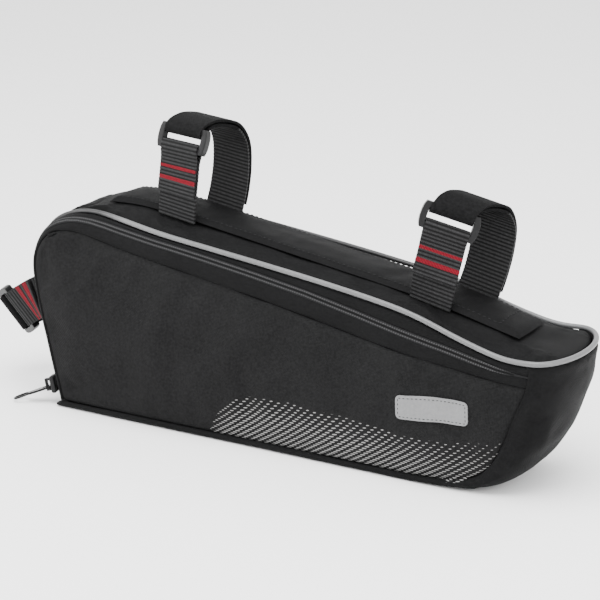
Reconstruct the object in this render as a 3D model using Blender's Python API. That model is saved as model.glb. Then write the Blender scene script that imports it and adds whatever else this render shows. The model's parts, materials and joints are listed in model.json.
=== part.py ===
"""Bicycle frame bag: a padded wedge of cloth with a zip along its near top edge and three webbing loops.

Metres, +Z up. The bag stands on its base, and the origin is the middle of the base's flat underside. +X
points to the low, rounded nose, and -Y to the side with the zip. Every cloth panel is a sheet of its own,
thickened inwards from its outer face, and butts against its neighbours at the seams with a small clearance.
"""

from collections import namedtuple
from math import cos, pi, radians, sin

import bmesh
import bpy
import numpy as np
from mathutils import Matrix, Vector

# Body
LENGTH = 0.277
HEIGHT = 0.109
HALF_WIDTH = 0.028
BASE_RISE = 0.003
EDGE_FOOT = 0.004
NOSE_REACH = 0.0145
NOSE_BLEND = 0.055
END_REACH = 0.005
FAR_CORNER = 0.055
SIDE_BULGE = 0.0026
SIDE_FULLNESS = 0.45
TOP_FULLNESS = 0.8
FLAT_FULLNESS = 0.62
FLAT_FILL = 0.10
SEAM_TUCK = 0.0009
WALL = 0.002
BAND_WALL = 0.0014
SEAM_GAP = 0.0003

# Zip and piping
BAND = 0.020
BAND_BULGE = 0.13
TAPE_HALF = 0.0019
TAPE_WALL = 0.0012
TAPE_END = 0.112
TAPE_FADE = 0.020
TAPE_LEAST = 0.25
PIPING_RADIUS = 0.0014

# Top pad and side patch
PAD_HALF = 0.0130
PAD_WALL = 0.0025
PAD_LEFT = -0.091
PAD_RIGHT = 0.116
PATCH_LENGTH = 0.034
PATCH_HEIGHT = 0.0105
PATCH_WALL = 0.0008
PATCH_TILT = 0.055
PATCH_MIDDLE = (0.3292, 0.335)

# Webbing, straps and buckles
WEB_WIDTH = 0.0195
WEB_WALL = 0.0012
LAYER_PITCH = WEB_WALL + 3 * SEAM_GAP
BAR = 0.0022
BUCKLE_WINDOW = 0.0058
TAB_LENGTH = 0.0335
END_TAB_LENGTH = 0.0185
TAB_RETURN = 0.0215
END_TAB_RETURN = 0.0125
BUCKLE_MARGIN = 0.0006
BUCKLE_ARM = 0.0028
BUCKLE_FLARE = 0.0012
BUCKLE_FLAT = 0.55
WINDOW_CORNER_ALONG = 0.9
WINDOW_CORNER_ACROSS = 0.97
FAR_WEB_SHARE = 0.40
WEB_STEP = 0.0022
TANGENT_STEP = 0.0008
WRAP_SPREAD = 0.007
STRAIGHT_AT_BUCKLE = 0.005
ROOT_CLEARANCE = 0.0010
STRAP_END = 0.0040

# Zip slider and its pull
SLIDER_LENGTH = 0.0085
SLIDER_WIDTH = 0.0066
SLIDER_DEPTH = 0.0026
SLIDER_HEIGHT = 0.0105
SLIDER_BEVEL = 0.0006
BRIDGE_LENGTH = 0.0062
BRIDGE_WIDTH = 0.0022
BRIDGE_RISE = 0.0030
BRIDGE_BAR = 0.0011
BRIDGE_SINK = 0.0004
PULL_WIRE = 0.0010
PULL_WIDTH = 0.0052
PULL_EYE = 0.0040
PULL_TAB = 0.0080
PULL_RING = 0.0085
PULL_RING_HALF = 0.0032
PULL_RING_SINK = 0.0006
PULL_SHOULDER = 0.75
PULL_TIP = 0.7
PULL_PLAY = 0.0004
PULL_DIP = radians(21)

# The long seam from the nose over the top, round the upper left corner and down the left end.
# x is a share of LENGTH and z of HEIGHT. The rises above the seam are shares of BAND, and the two widths of
# HALF_WIDTH.
EdgeStation = namedtuple("EdgeStation", "x z zip_rise piping_rise crown_rise zip_width piping_width")
EDGE = [
    EdgeStation(0.486, 0.486, 0.24, 0.56, 0.56, 1.00, 1.00),
    EdgeStation(0.433, 0.489, 0.27, 0.55, 0.70, 1.00, 0.97),
    EdgeStation(0.347, 0.516, 0.36, 0.71, 0.92, 0.99, 0.93),
    EdgeStation(0.260, 0.542, 0.44, 0.94, 1.05, 0.98, 0.91),
    EdgeStation(0.087, 0.629, 0.49, 0.84, 0.97, 0.98, 0.90),
    EdgeStation(-0.101, 0.710, 0.47, 0.72, 0.965, 0.98, 0.90),
    EdgeStation(-0.199, 0.751, 0.43, 0.66, 0.975, 0.98, 0.89),
    EdgeStation(-0.274, 0.786, 0.40, 0.63, 0.90, 0.97, 0.84),
    EdgeStation(-0.332, 0.818, 0.35, 0.51, 0.68, 0.96, 0.74),
    EdgeStation(-0.375, 0.827, 0.27, 0.34, 0.42, 0.95, 0.67),
    EdgeStation(-0.412, 0.804, 0.17, 0.23, 0.29, 0.93, 0.61),
    EdgeStation(-0.437, 0.740, 0.14, 0.20, 0.25, 0.90, 0.57),
    EdgeStation(-0.449, 0.644, 0.14, 0.20, 0.26, 0.88, 0.54),
    EdgeStation(-0.442, 0.490, 0.15, 0.21, 0.27, 0.87, 0.53),
    EdgeStation(-0.424, 0.280, 0.17, 0.23, 0.29, 0.86, 0.53),
    EdgeStation(-0.402, EDGE_FOOT / HEIGHT, 0.18, 0.25, 0.30, 0.86, 0.53),
]

# The seam down the nose and along the base. x is a share of LENGTH and z of HEIGHT. crown, how far the middle
# of the panel stands out from the seam, is a share of HALF_WIDTH. flat goes from 0, an ellipse, to 1, a flat
# with round edges.
LowerStation = namedtuple("LowerStation", "x z crown flat")
BASE_Z = BASE_RISE / HEIGHT
BASE_CROWN = BASE_RISE / HALF_WIDTH
LOWER = [
    LowerStation(0.4885, 0.589, NOSE_REACH / HALF_WIDTH, 0.0),
    LowerStation(0.4866, 0.486, 0.49, 0.0),
    LowerStation(0.4686, 0.363, 0.48, 0.0),
    LowerStation(0.4510, 0.243, 0.45, 0.1),
    LowerStation(0.4296, 0.143, 0.38, 0.3),
    LowerStation(0.4040, 0.075, 0.25, 0.6),
    LowerStation(0.3610, BASE_Z + 0.012, BASE_CROWN + 0.03, 0.9),
    LowerStation(0.3000, BASE_Z, BASE_CROWN, 1.0),
    LowerStation(0.2000, BASE_Z, BASE_CROWN, 1.0),
    LowerStation(0.0000, BASE_Z, BASE_CROWN, 1.0),
    LowerStation(-0.2000, BASE_Z, BASE_CROWN, 1.0),
    LowerStation(-0.4000, BASE_Z, BASE_CROWN, 1.0),
]
SEAM_TOP_STATION = 1
FOOT_STATION = 6
CORNER_STATION = 10
EDGE_STEPS = 2
NOSE_STEPS = 2
BASE_STEPS = 4

# A loop's middle line: across is a share of the loop's half span, out of its reach.
LoopPoint = namedtuple("LoopPoint", "across out")
LOOP_LINE = [
    LoopPoint(-1.00, 0.00),
    LoopPoint(-0.95, 0.22),
    LoopPoint(-0.86, 0.45),
    LoopPoint(-0.77, 0.68),
    LoopPoint(-0.62, 0.90),
    LoopPoint(-0.26, 1.00),
    LoopPoint(0.25, 1.00),
    LoopPoint(0.85, 0.93),
    LoopPoint(1.22, 0.74),
    LoopPoint(1.28, 0.48),
    LoopPoint(1.18, 0.22),
    LoopPoint(1.00, 0.00),
]

# The three loops. place is a share of LENGTH along the top, or of HEIGHT up the left end. half_span, half the
# distance between the roots, is a share of HALF_WIDTH, and reach, how far the loop stands out, of HEIGHT. yaw
# turns the loop about the vertical and lean is its sideways drift. The turn and the dip tilt the buckle.
Loop = namedtuple("Loop", "name place half_span reach yaw lean turn_at_buckle dip_at_buckle")
LOOPS = [
    Loop("left", -0.1643, 0.589, 0.404, radians(11), 0.03, radians(-2), radians(3)),
    Loop("right", 0.3105, 0.579, 0.408, radians(15), 0.15, radians(26), radians(-12)),
    Loop("end", 0.4771, 0.536, 0.243, radians(0), 0.42, radians(-22), radians(0)),
]

PALETTE = {
    "side_cloth": ((0.055, 0.057, 0.060), 0.80, 0.0),
    "black_cloth": ((0.020, 0.021, 0.023), 0.75, 0.0),
    "reflective": ((0.55, 0.56, 0.57), 0.45, 0.2),
    "webbing": ((0.022, 0.022, 0.024), 0.80, 0.0),
    "strap": ((0.030, 0.030, 0.033), 0.60, 0.0),
    "plastic": ((0.020, 0.020, 0.022), 0.35, 0.0),
    "zip": ((0.030, 0.030, 0.032), 0.55, 0.0),
}


def clear_scene():
    for item in list(bpy.data.objects):
        bpy.data.objects.remove(item, do_unlink=True)


def material(name):
    """The palette's material of this name, made once."""
    made = bpy.data.materials.get(name)
    if made:
        return made
    colour, roughness, metallic = PALETTE[name]
    made = bpy.data.materials.new(name)
    made.use_nodes = True
    shader = made.node_tree.nodes["Principled BSDF"]
    shader.inputs["Base Color"].default_value = (*colour, 1)
    shader.inputs["Roughness"].default_value = roughness
    shader.inputs["Metallic"].default_value = metallic
    return made


def add_object(name, mesh, slot):
    made = bpy.data.objects.new(name, mesh)
    bpy.context.scene.collection.objects.link(made)
    mesh.materials.append(material(slot))
    return made


def smooth_rows(table, steps):
    """Rows along a Catmull-Rom curve through the table's rows, with steps[k] of them on its k-th stretch."""
    table = np.array(table, float)
    padded = np.vstack([2 * table[0] - table[1], table, 2 * table[-1] - table[-2]])
    rows = []
    for k, count in enumerate(steps):
        p0, p1, p2, p3 = padded[k : k + 4]
        for t in np.linspace(0, 1, count, endpoint=False):
            bend = 2 * p0 - 5 * p1 + 4 * p2 - p3
            rows.append(0.5 * (2 * p1 + (p2 - p0) * t + bend * t**2 + (3 * p1 - p0 - 3 * p2 + p3) * t**3))
    rows.append(table[-1])
    return np.array(rows)


def even_rows(rows, count):
    """count rows, evenly spaced along a line of rows whose first two columns set the pace."""
    steps = np.linalg.norm(np.diff(rows[:, :2], axis=0), axis=1)
    run = np.concatenate([[0], np.cumsum(steps)])
    wanted = np.linspace(0, run[-1], count)
    return np.column_stack([np.interp(wanted, run, rows[:, k]) for k in range(rows.shape[1])])


def outward(line, side):
    """Unit normals of an x, z line, turned to its left or right by side."""
    tangent = np.gradient(line[:, :2], axis=0)
    tangent /= np.linalg.norm(tangent, axis=1)[:, None]
    return side * np.column_stack([-tangent[:, 1], tangent[:, 0]])


def sheet(name, outer, inner, slot):
    """A closed sheet of cloth between two grids of points: outer face, inner face and a rim round both."""
    rows, columns = len(outer), len(outer[0])
    mesh = bpy.data.meshes.new(name)
    work = bmesh.new()
    front = [[work.verts.new(point) for point in row] for row in outer]
    back = [[work.verts.new(point) for point in row] for row in inner]
    for i in range(rows - 1):
        for j in range(columns - 1):
            work.faces.new((front[i][j], front[i][j + 1], front[i + 1][j + 1], front[i + 1][j]))
            work.faces.new((back[i + 1][j], back[i + 1][j + 1], back[i][j + 1], back[i][j]))
    for i in range(rows - 1):
        for j, turned in ((0, False), (columns - 1, True)):
            corners = [front[i][j], front[i + 1][j], back[i + 1][j], back[i][j]]
            work.faces.new(corners[::-1] if turned else corners)
    for j in range(columns - 1):
        for i, turned in ((0, True), (rows - 1, False)):
            corners = [front[i][j], front[i][j + 1], back[i][j + 1], back[i][j]]
            work.faces.new(corners[::-1] if turned else corners)
    bmesh.ops.recalc_face_normals(work, faces=work.faces)
    work.to_mesh(mesh)
    work.free()
    mesh.shade_smooth()
    mesh.set_sharp_from_angle(angle=radians(40))
    return add_object(name, mesh, slot)


def shifted(grid, ways, wall):
    """The grid moved by wall along each row's way."""
    return [[point + way * wall for point in row] for row, way in zip(grid, ways)]


class Edge:
    """The long seam's stations, in metres, each with its outward normal in the x-z plane."""

    def __init__(self):
        table = [
            (
                s.x * LENGTH, s.z * HEIGHT, s.zip_rise * BAND, s.piping_rise * BAND, s.crown_rise * BAND,
                s.zip_width * HALF_WIDTH, s.piping_width * HALF_WIDTH,
            )
            for s in EDGE
        ]
        rows = smooth_rows(table, [EDGE_STEPS] * (len(table) - 1))
        self.seam = rows[:, :2]
        self.normal = outward(rows, -1)
        self.normal[0] = (0, 1)
        self.zip_rise, self.piping_rise, self.crown_rise = rows[:, 2], rows[:, 3], rows[:, 4]
        self.zip_width, self.piping_width = rows[:, 5], rows[:, 6]
        steps = np.linalg.norm(np.diff(self.seam, axis=0), axis=1)
        self.run = np.concatenate([[0], np.cumsum(steps)])

    def point(self, i, y, rise, reach=0.0):
        place = self.seam[i] + self.normal[i] * rise
        return Vector((place[0] + reach, y, place[1]))


EDGE_LINE = Edge()


def bulged(start, end, share, bulge):
    """A point on a shallow arc between two (y, rise) pairs of the near side, bulging towards -y."""
    start, end = np.array(start), np.array(end)
    chord = end - start
    across = np.array([-chord[1], chord[0]]) / np.linalg.norm(chord)
    return start + chord * share + across * bulge * 4 * share * (1 - share)


def tape_half(i):
    """Half the zip tape's width at a station, closing to a plain seam between the zip's end and the nose."""
    x = EDGE_LINE.seam[i][0]
    return TAPE_HALF * min(1.0, max(TAPE_LEAST, (TAPE_END + TAPE_FADE - x) / TAPE_FADE))


def zip_section(i):
    """The near side's section at a station: (y, rise) pairs of the seam, the zip's line and the piping."""
    seam = np.array((-(HALF_WIDTH - SEAM_TUCK), SEAM_GAP))
    zipper = np.array((SEAM_TUCK - EDGE_LINE.zip_width[i], EDGE_LINE.zip_rise[i]))
    piping = np.array((-EDGE_LINE.piping_width[i], EDGE_LINE.piping_rise[i]))
    return seam, zipper, piping


def lower_band_inwards(i, share):
    """The way through the lower strip: square to the side panel at its seam, as the zip's own at the zip."""
    return Vector((0, 1, 0)).lerp(zip_inwards(i), share).normalized()


def zip_inwards(i):
    """The way through the cloth at a station, square to the line from the seam to the piping."""
    seam, _, piping = zip_section(i)
    y, rise = (piping - seam) / np.linalg.norm(piping - seam)
    flat = EDGE_LINE.normal[i] * -y
    return Vector((flat[0], rise, flat[1]))


def band_grid(lower):
    """Outer points of the lower or upper strip beside the zip, from the nose to the lower left corner."""
    grid = []
    for i in range(len(EDGE_LINE.seam)):
        seam, zipper, piping = zip_section(i)
        start, end = (seam, zipper) if lower else (zipper, piping)
        width = np.linalg.norm(end - start)
        at_zip = (tape_half(i) + SEAM_GAP) / width
        at_piping = (PIPING_RADIUS + SEAM_GAP) / width
        low, high = (0.0, 1 - at_zip) if lower else (at_zip, 1 - at_piping)
        chord = end - start
        bulge = BAND_BULGE * width * (high - low)
        trimmed = (start + chord * low, start + chord * high)
        row = [bulged(*trimmed, share, bulge) for share in np.linspace(0, 1, 4)]
        reach = -SEAM_GAP if i == 0 else 0.0
        grid.append([EDGE_LINE.point(i, y, rise, reach) for y, rise in row])
    return grid


def tape_grid():
    """The zip tape's outer points, bent at the zip's line to follow the strips on both sides."""
    grid = []
    for i in range(len(EDGE_LINE.seam)):
        seam, zipper, piping = zip_section(i)
        down = (seam - zipper) / np.linalg.norm(seam - zipper)
        up = (piping - zipper) / np.linalg.norm(piping - zipper)
        reach = -SEAM_GAP if i == 0 else 0.0
        row = [zipper + down * tape_half(i), zipper, zipper + up * tape_half(i)]
        grid.append([EDGE_LINE.point(i, y, rise, reach) for y, rise in row])
    return grid


def nose_reach(i):
    """How far the top panel's middle runs on past its edges, towards the nose."""
    return NOSE_REACH * max(0.0, 1 - EDGE_LINE.run[i] / NOSE_BLEND) ** 2


def top_point(i, angle, lift=0.0, inset=0.0):
    """A point on the top panel: angle runs from -90 degrees at the near piping to 90 at the far one."""
    rise = EDGE_LINE.piping_rise[i]
    crown = EDGE_LINE.crown_rise[i] - rise
    half = EDGE_LINE.piping_width[i] - inset
    reach = nose_reach(i) * (1 - inset / HALF_WIDTH) - (inset if i == 0 else 0.0)
    height = rise + crown * cos(angle) ** TOP_FULLNESS + lift
    return EDGE_LINE.point(i, half * sin(angle), height, reach * cos(angle))


def top_grid():
    angles = np.linspace(-pi / 2, pi / 2, 11)
    inset = PIPING_RADIUS + SEAM_GAP
    return [[top_point(i, angle, 0.0, inset) for angle in angles] for i in range(len(EDGE_LINE.seam))]


def station_at(x):
    """The fractional station on the top whose seam has this x."""
    top = EDGE_LINE.seam[:, 0][: np.argmin(EDGE_LINE.seam[:, 0])]
    return float(np.interp(-x, -top, np.arange(len(top))))


def top_at(x, y, lift=0.0):
    """The point of the top panel's outer face at this x and y, found on the fine grid of stations."""
    station = station_at(x)
    low = int(station)
    blend = station - low
    pair = []
    for i in (low, low + 1):
        half = EDGE_LINE.piping_width[i]
        pair.append(top_point(i, np.arcsin(np.clip(y / half, -0.999, 0.999)), lift))
    return pair[0].lerp(pair[1], blend)


def pad_grid(lift):
    """Points of the pad, lift above the top panel: a strip along the crown of the top."""
    across = np.linspace(-PAD_HALF, PAD_HALF, 5)
    return [[top_at(x, y, lift) for y in across] for x in np.linspace(PAD_RIGHT, PAD_LEFT, 22)]


def lower_rows():
    """Rows down the nose and along the base: x, z, crown and flat."""
    table = [(s.x * LENGTH, s.z * HEIGHT, s.crown * HALF_WIDTH, s.flat) for s in LOWER]
    steps = [NOSE_STEPS] * FOOT_STATION + [BASE_STEPS] * (len(LOWER) - 1 - FOOT_STATION)
    return smooth_rows(table, steps)


def far_half(x):
    """The far half of the base's width, which narrows to the left end's own width at its foot."""
    foot_x = EDGE[-1].x * LENGTH
    share = min(1.0, max(0.0, 1 - (x - foot_x) / FAR_CORNER))
    narrowed = (1 - EDGE[-1].piping_width) * HALF_WIDTH - PIPING_RADIUS
    return HALF_WIDTH - narrowed * share * share * (3 - 2 * share)


def nose_and_base_grid(depth_in):
    """Points from the nose's piping down the nose and along the base, depth_in behind the outer face."""
    rows = lower_rows()
    normal = outward(rows, 1)
    normal[0] = (1, 0)
    last = len(rows) - 1
    grid = []
    for i, (x, z, crown, flat) in enumerate(rows):
        power = 1 - FLAT_FULLNESS * flat
        row = []
        for angle in np.linspace(-pi / 2, pi / 2, 13):
            side = abs(sin(angle)) ** power * (1 if angle > 0 else -1)
            depth = min(1.0, cos(angle) ** power * (1 + FLAT_FILL * flat))
            drop = (WALL + SEAM_GAP) if i == 0 else 0.0
            place = np.array([x, z - drop]) + normal[i] * (crown - depth_in) * depth
            place[0] -= END_REACH * depth if i == last else 0.0
            half = far_half(x) if side > 0 else HALF_WIDTH
            row.append(Vector((place[0], (half - depth_in) * side, max(0.0, place[1]))))
        grid.append(row)
    return grid


def blend_lines(bottom, top, left, right):
    """A Coons patch: the grid between four boundary lines of x, y, z points."""
    rows, columns = len(left), len(bottom)
    grid = []
    for j in range(rows):
        v = j / (rows - 1)
        row = []
        for i in range(columns):
            u = i / (columns - 1)
            ruled = bottom[i] * (1 - v) + top[i] * v + left[j] * (1 - u) + right[j] * u
            low_corners = (bottom[0] * (1 - u) + bottom[-1] * u) * (1 - v)
            high_corners = (top[0] * (1 - u) + top[-1] * u) * v
            row.append(ruled - low_corners - high_corners)
        grid.append(row)
    return grid


def side_lines(side):
    """The four boundary lines of a side panel, side -1 for the near one and 1 for the far one."""
    far = side > 0
    tuck = HALF_WIDTH - SEAM_TUCK
    upper = []
    for i, (x, z) in enumerate(EDGE_LINE.seam):
        rise = EDGE_LINE.piping_rise[i] - WALL - SEAM_GAP if far else 0.0
        way = EDGE_LINE.normal[i]
        width = min(tuck, EDGE_LINE.piping_width[i]) if far else tuck
        upper.append(np.array([x + way[0] * rise, side * width, z + way[1] * rise]))
    corner = CORNER_STATION * EDGE_STEPS
    top, left = upper[corner::-1], upper[:corner - 1:-1]
    lower = lower_rows()
    foot = FOOT_STATION * NOSE_STEPS
    first = 0 if far else SEAM_TOP_STATION * NOSE_STEPS
    nose = even_rows(lower[first : foot + 1], len(left)) if far else lower[first : foot + 1]
    right = [np.array([x - SEAM_GAP, side * tuck, z + SEAM_GAP]) for x, z, _, _ in nose][::-1]
    widths = [(far_half(row[0]) if far else HALF_WIDTH) - SEAM_TUCK for row in lower[foot:]]
    bottom = [np.array([row[0], side * width, row[1] + SEAM_GAP]) for row, width in zip(lower[foot:], widths)]
    bottom.reverse()
    bottom[-1] = right[0]
    bottom[0] = left[0]
    right[-1] = top[-1] = np.array([right[-1][0], top[-1][1], top[-1][2]])
    return bottom, top, left, right


def side_grid(side):
    """Outer points of a side panel: a patch between its four seams, bulged like a thin pillow."""
    grid = blend_lines(*side_lines(side))
    rows, columns = len(grid), len(grid[0])
    for j, row in enumerate(grid):
        for i, point in enumerate(row):
            pillow = (sin(pi * i / (columns - 1)) * sin(pi * j / (rows - 1))) ** SIDE_FULLNESS
            point[1] += side * SIDE_BULGE * pillow
    return [[Vector(point) for point in row] for row in grid]


def piping_line():
    """The piping's middle line: up the near edge, round the nose and back down the far edge."""
    near = [
        EDGE_LINE.point(i, -EDGE_LINE.piping_width[i], EDGE_LINE.piping_rise[i])
        for i in range(len(EDGE_LINE.seam) - 1, -1, -1)
    ]
    tip = near[-1]
    nose = [
        Vector((tip.x + NOSE_REACH * cos(angle), -tip.y * sin(angle), tip.z))
        for angle in np.linspace(-pi / 2, pi / 2, 15)[1:-1]
    ]
    far = [Vector((p.x, -p.y, p.z)) for p in reversed(near)]
    return near + nose + far


def add_tube(name, points, radius, slot):
    curve = bpy.data.curves.new(name, "CURVE")
    curve.dimensions = "3D"
    curve.bevel_depth = radius
    curve.bevel_resolution = 1
    curve.use_fill_caps = True
    spline = curve.splines.new("POLY")
    spline.points.add(len(points) - 1)
    for knot, point in zip(spline.points, points):
        knot.co = (*point, 1)
    return add_object(name, curve, slot)


def patch_grid(lift):
    """Points of the bare patch, lift off the near panel's bulge, turned to follow the zip's slope."""
    panel = np.array([point for row in side_grid(-1) for point in row])
    rows = []
    for v in np.linspace(-0.5, 0.5, 4):
        row = []
        for u in np.linspace(-0.5, 0.5, 7):
            x = PATCH_MIDDLE[0] * LENGTH + u * PATCH_LENGTH - v * PATCH_HEIGHT * PATCH_TILT
            z = PATCH_MIDDLE[1] * HEIGHT + v * PATCH_HEIGHT + u * PATCH_LENGTH * PATCH_TILT
            near = np.argsort((panel[:, 0] - x) ** 2 + (panel[:, 2] - z) ** 2)[:4]
            row.append(Vector((x, panel[near, 1].min() - lift, z)))
        rows.append(row)
    return rows


class LoopFrame:
    """One loop's middle line in space, with the direction of the strap's width and its outward side."""

    def __init__(self, loop, low_bar):
        self.loop = loop
        self.half_span = loop.half_span * HALF_WIDTH
        table = [(p.across * self.half_span, p.out * loop.reach * HEIGHT) for p in LOOP_LINE]
        self.line = even_rows(smooth_rows(table, [12] * (len(table) - 1)), 120)
        steps = np.linalg.norm(np.diff(self.line, axis=0), axis=1)
        self.run = np.concatenate([[0], np.cumsum(steps)])
        self.length = self.run[-1]
        if loop.name == "end":
            self.set_on_end()
        else:
            self.set_on_top()
        self.low_bar = low_bar
        self.high_bar = low_bar + BUCKLE_WINDOW + BAR
        self.up = (self.middle(self.high_bar) - self.middle(self.low_bar)).normalized()
        turned = Matrix.Rotation(loop.turn_at_buckle, 3, self.out.normalized()) @ self.root_width
        turned = Matrix.Rotation(-loop.dip_at_buckle, 3, self.across) @ turned
        self.buckle_width = (turned - self.up * turned.dot(self.up)).normalized()
        self.buckle_middle = (self.middle(self.low_bar) + self.middle(self.high_bar)) / 2

    def set_on_top(self):
        """Across is +Y turned by the yaw, out is up, and the lean drifts towards the nose."""
        loop = self.loop
        half = WEB_WIDTH / 2
        self.turned = -1
        self.across = Vector((sin(loop.yaw), cos(loop.yaw), 0.0))
        self.out = Vector((loop.lean, 0.0, 1.0))
        place = loop.place * LENGTH
        ends = [top_at(place + share * half, 0.0) for share in (-1, 1)]
        self.root_width = (ends[1] - ends[0]).normalized()
        fall = self.root_width.z / self.root_width.x
        heights = []
        for side in (-1, 1):
            foot = self.across * side * self.half_span
            for share in (-1, 0, 1):
                under = top_at(place + foot.x + share * half, foot.y)
                heights.append(under.z - fall * (foot.x + share * half))
        self.origin = Vector((place, 0.0, max(heights) + ROOT_CLEARANCE))
        self.foot_fall = fall

    def set_on_end(self):
        """Across is +Y, out is away from the left end, and the loop droops by its lean."""
        loop = self.loop
        left_end = range(CORNER_STATION * EDGE_STEPS, len(EDGE_LINE.seam))
        i = min(left_end, key=lambda k: abs(EDGE_LINE.seam[k][1] - loop.place * HEIGHT))
        normal = Vector((EDGE_LINE.normal[i][0], 0.0, EDGE_LINE.normal[i][1]))
        self.turned = 1
        self.origin = top_point(i, 0.0, 2 * SEAM_GAP)
        self.across = Vector((0.0, 1.0, 0.0))
        self.out = normal + Vector((0.0, 0.0, -loop.lean))
        self.root_width = Vector((-normal.z, 0.0, normal.x))
        self.foot_fall = 0.0

    def middle(self, s):
        a, b = (np.interp(s, self.run, self.line[:, k]) for k in (0, 1))
        place = self.origin + self.across * a + self.out * b
        place.z += self.foot_fall * self.across.x * a
        return place

    def tangent(self, s):
        ends = min(self.length, s + TANGENT_STEP), max(0.0, s - TANGENT_STEP)
        return (self.middle(ends[0]) - self.middle(ends[1])).normalized()

    def width(self, s):
        """The width's direction: along the surface at both roots, and the buckle's own in the buckle."""
        rise = min(1.0, max(0.0, s / (self.low_bar - STRAIGHT_AT_BUCKLE)))
        run_down = self.length - self.high_bar - STRAIGHT_AT_BUCKLE
        fall = min(1.0, max(0.0, (self.length - s) / run_down))
        share = min(rise * rise * (3 - 2 * rise), fall * fall * (3 - 2 * fall))
        return self.root_width.lerp(self.buckle_width, share).normalized()

    def facing(self, s):
        """The loop's outward direction at s, square to the strap's own face."""
        return self.tangent(s).cross(self.width(s)).normalized() * self.turned

    def place(self, s, offset=0.0):
        """The point at arc length s, moved outwards by offset."""
        return self.middle(s) + self.facing(s) * offset


def ribbon(name, frame, stops, slot):
    """A strap along stops, pairs of a point and the arc length that gives its width's direction."""
    half = WEB_WIDTH / 2
    middles = [point for point, _ in stops]
    outer, inner = [], []
    for k, (point, s) in enumerate(stops):
        along = (middles[min(k + 1, len(stops) - 1)] - middles[max(k - 1, 0)]).normalized()
        across = frame.width(s)
        through = along.cross(across).normalized() * WEB_WALL / 2
        outer.append([point + through - across * half, point + through + across * half])
        inner.append([point - through - across * half, point - through + across * half])
    return sheet(name, outer, inner, slot)


def wrap(frame, bar_s, start, back, gap, side):
    """Stops of a strap that runs from start to a bar at bar_s, turns round it and comes back, ending at back.

    The two layers lie on both sides of the loop's middle line, gap away from it and further near the bar.
    side is 1 where the run towards the bar is the outer layer, and -1 where it is the inner one.
    """
    bend = BAR / 2 + 2 * SEAM_GAP + WEB_WALL / 2
    way = 1 if bar_s > start else -1

    def leg(s):
        near = max(0.0, 1 - abs(bar_s - s) / WRAP_SPREAD)
        return gap + (bend - gap) * near * near * (3 - 2 * near)

    stops = []
    for s in np.linspace(start, bar_s, max(5, int(abs(bar_s - start) / WEB_STEP)), endpoint=False):
        stops.append((frame.place(s, side * leg(s)), s))
    centre = frame.buckle_middle + frame.up * (BUCKLE_WINDOW + BAR) / 2 * (1 if bar_s > frame.low_bar else -1)
    pull = centre - frame.middle(bar_s - way * WRAP_SPREAD)
    pull = (pull - frame.buckle_width * pull.dot(frame.buckle_width)).normalized()
    normal = pull.cross(frame.buckle_width).normalized() * frame.turned * side * way
    for angle in np.linspace(0, pi, 9):
        stops.append((centre + (normal * cos(angle) + pull * sin(angle)) * bend, bar_s))
    for s in np.linspace(bar_s, back, max(5, int(abs(bar_s - back) / WEB_STEP)) + 1)[1:]:
        stops.append((frame.place(s, -side * leg(s)), s))
    return stops


def add_buckle(name, frame):
    """A ladder buckle: two bars across the strap, joined by round arms that stand out past its edges."""
    pitch = BUCKLE_WINDOW + BAR
    inner = WEB_WIDTH / 2 + BUCKLE_MARGIN
    outer = inner + BUCKLE_ARM
    reach = pitch / 2 + BAR / 2
    half_window = pitch / 2 - BAR / 2
    flat = reach * BUCKLE_FLAT
    low, corner = half_window * WINDOW_CORNER_ALONG, inner * WINDOW_CORNER_ACROSS
    outline = [
        (-outer, -flat), (-outer + BUCKLE_FLARE, -reach), (outer - BUCKLE_FLARE, -reach), (outer, -flat),
        (outer, flat), (outer - BUCKLE_FLARE, reach), (-outer + BUCKLE_FLARE, reach), (-outer, flat),
    ]
    window = [
        (-inner, -low), (-corner, -half_window), (corner, -half_window), (inner, -low),
        (inner, low), (corner, half_window), (-corner, half_window), (-inner, low),
    ]
    mesh = bpy.data.meshes.new(name)
    work = bmesh.new()
    count = len(outline)
    rings = []
    for depth in (-BAR / 2, BAR / 2):
        rings.append([work.verts.new((x, depth, y)) for x, y in outline])
        rings.append([work.verts.new((x, depth, y)) for x, y in window])
    outer_back, inner_back, outer_front, inner_front = rings
    for i in range(count):
        j = (i + 1) % count
        work.faces.new((outer_back[i], outer_back[j], inner_back[j], inner_back[i]))
        work.faces.new((inner_front[i], inner_front[j], outer_front[j], outer_front[i]))
        work.faces.new((outer_front[i], outer_front[j], outer_back[j], outer_back[i]))
        work.faces.new((inner_back[i], inner_back[j], inner_front[j], inner_front[i]))
    bmesh.ops.recalc_face_normals(work, faces=work.faces)
    work.to_mesh(mesh)
    work.free()
    made = add_object(name, mesh, "plastic")
    across = frame.buckle_width
    made.matrix_world = axes_matrix(frame.buckle_middle, across, frame.up.cross(across), frame.up)
    return made


def add_loop(loop):
    """One webbing loop, from its near root to its far one.

    The near tab is folded over the buckle's lower bar, its end in front. The strap goes from the far
    webbing's top end round the upper bar and back over itself. The far webbing is on the loop's inner side.
    """
    if loop.name == "end":
        low_bar, tab_return = END_TAB_LENGTH, END_TAB_RETURN
    else:
        low_bar, tab_return = TAB_LENGTH, TAB_RETURN
    frame = LoopFrame(loop, low_bar)
    total = frame.length
    far_web = total * FAR_WEB_SHARE
    half = LAYER_PITCH / 2

    near = wrap(frame, low_bar, 0.0, low_bar - tab_return, half, -1)
    ribbon(loop.name + "_near_webbing", frame, near, "webbing")
    strap = wrap(frame, frame.high_bar, total - far_web - SEAM_GAP, total - STRAP_END, half, -1)
    ribbon(loop.name + "_strap", frame, strap, "strap")
    stops = [
        (frame.place(s, -half), s)
        for s in np.linspace(total - far_web + SEAM_GAP, total, int(far_web / WEB_STEP))
    ]
    ribbon(loop.name + "_far_webbing", frame, stops, "webbing")
    add_buckle(loop.name + "_buckle", frame)


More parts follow.
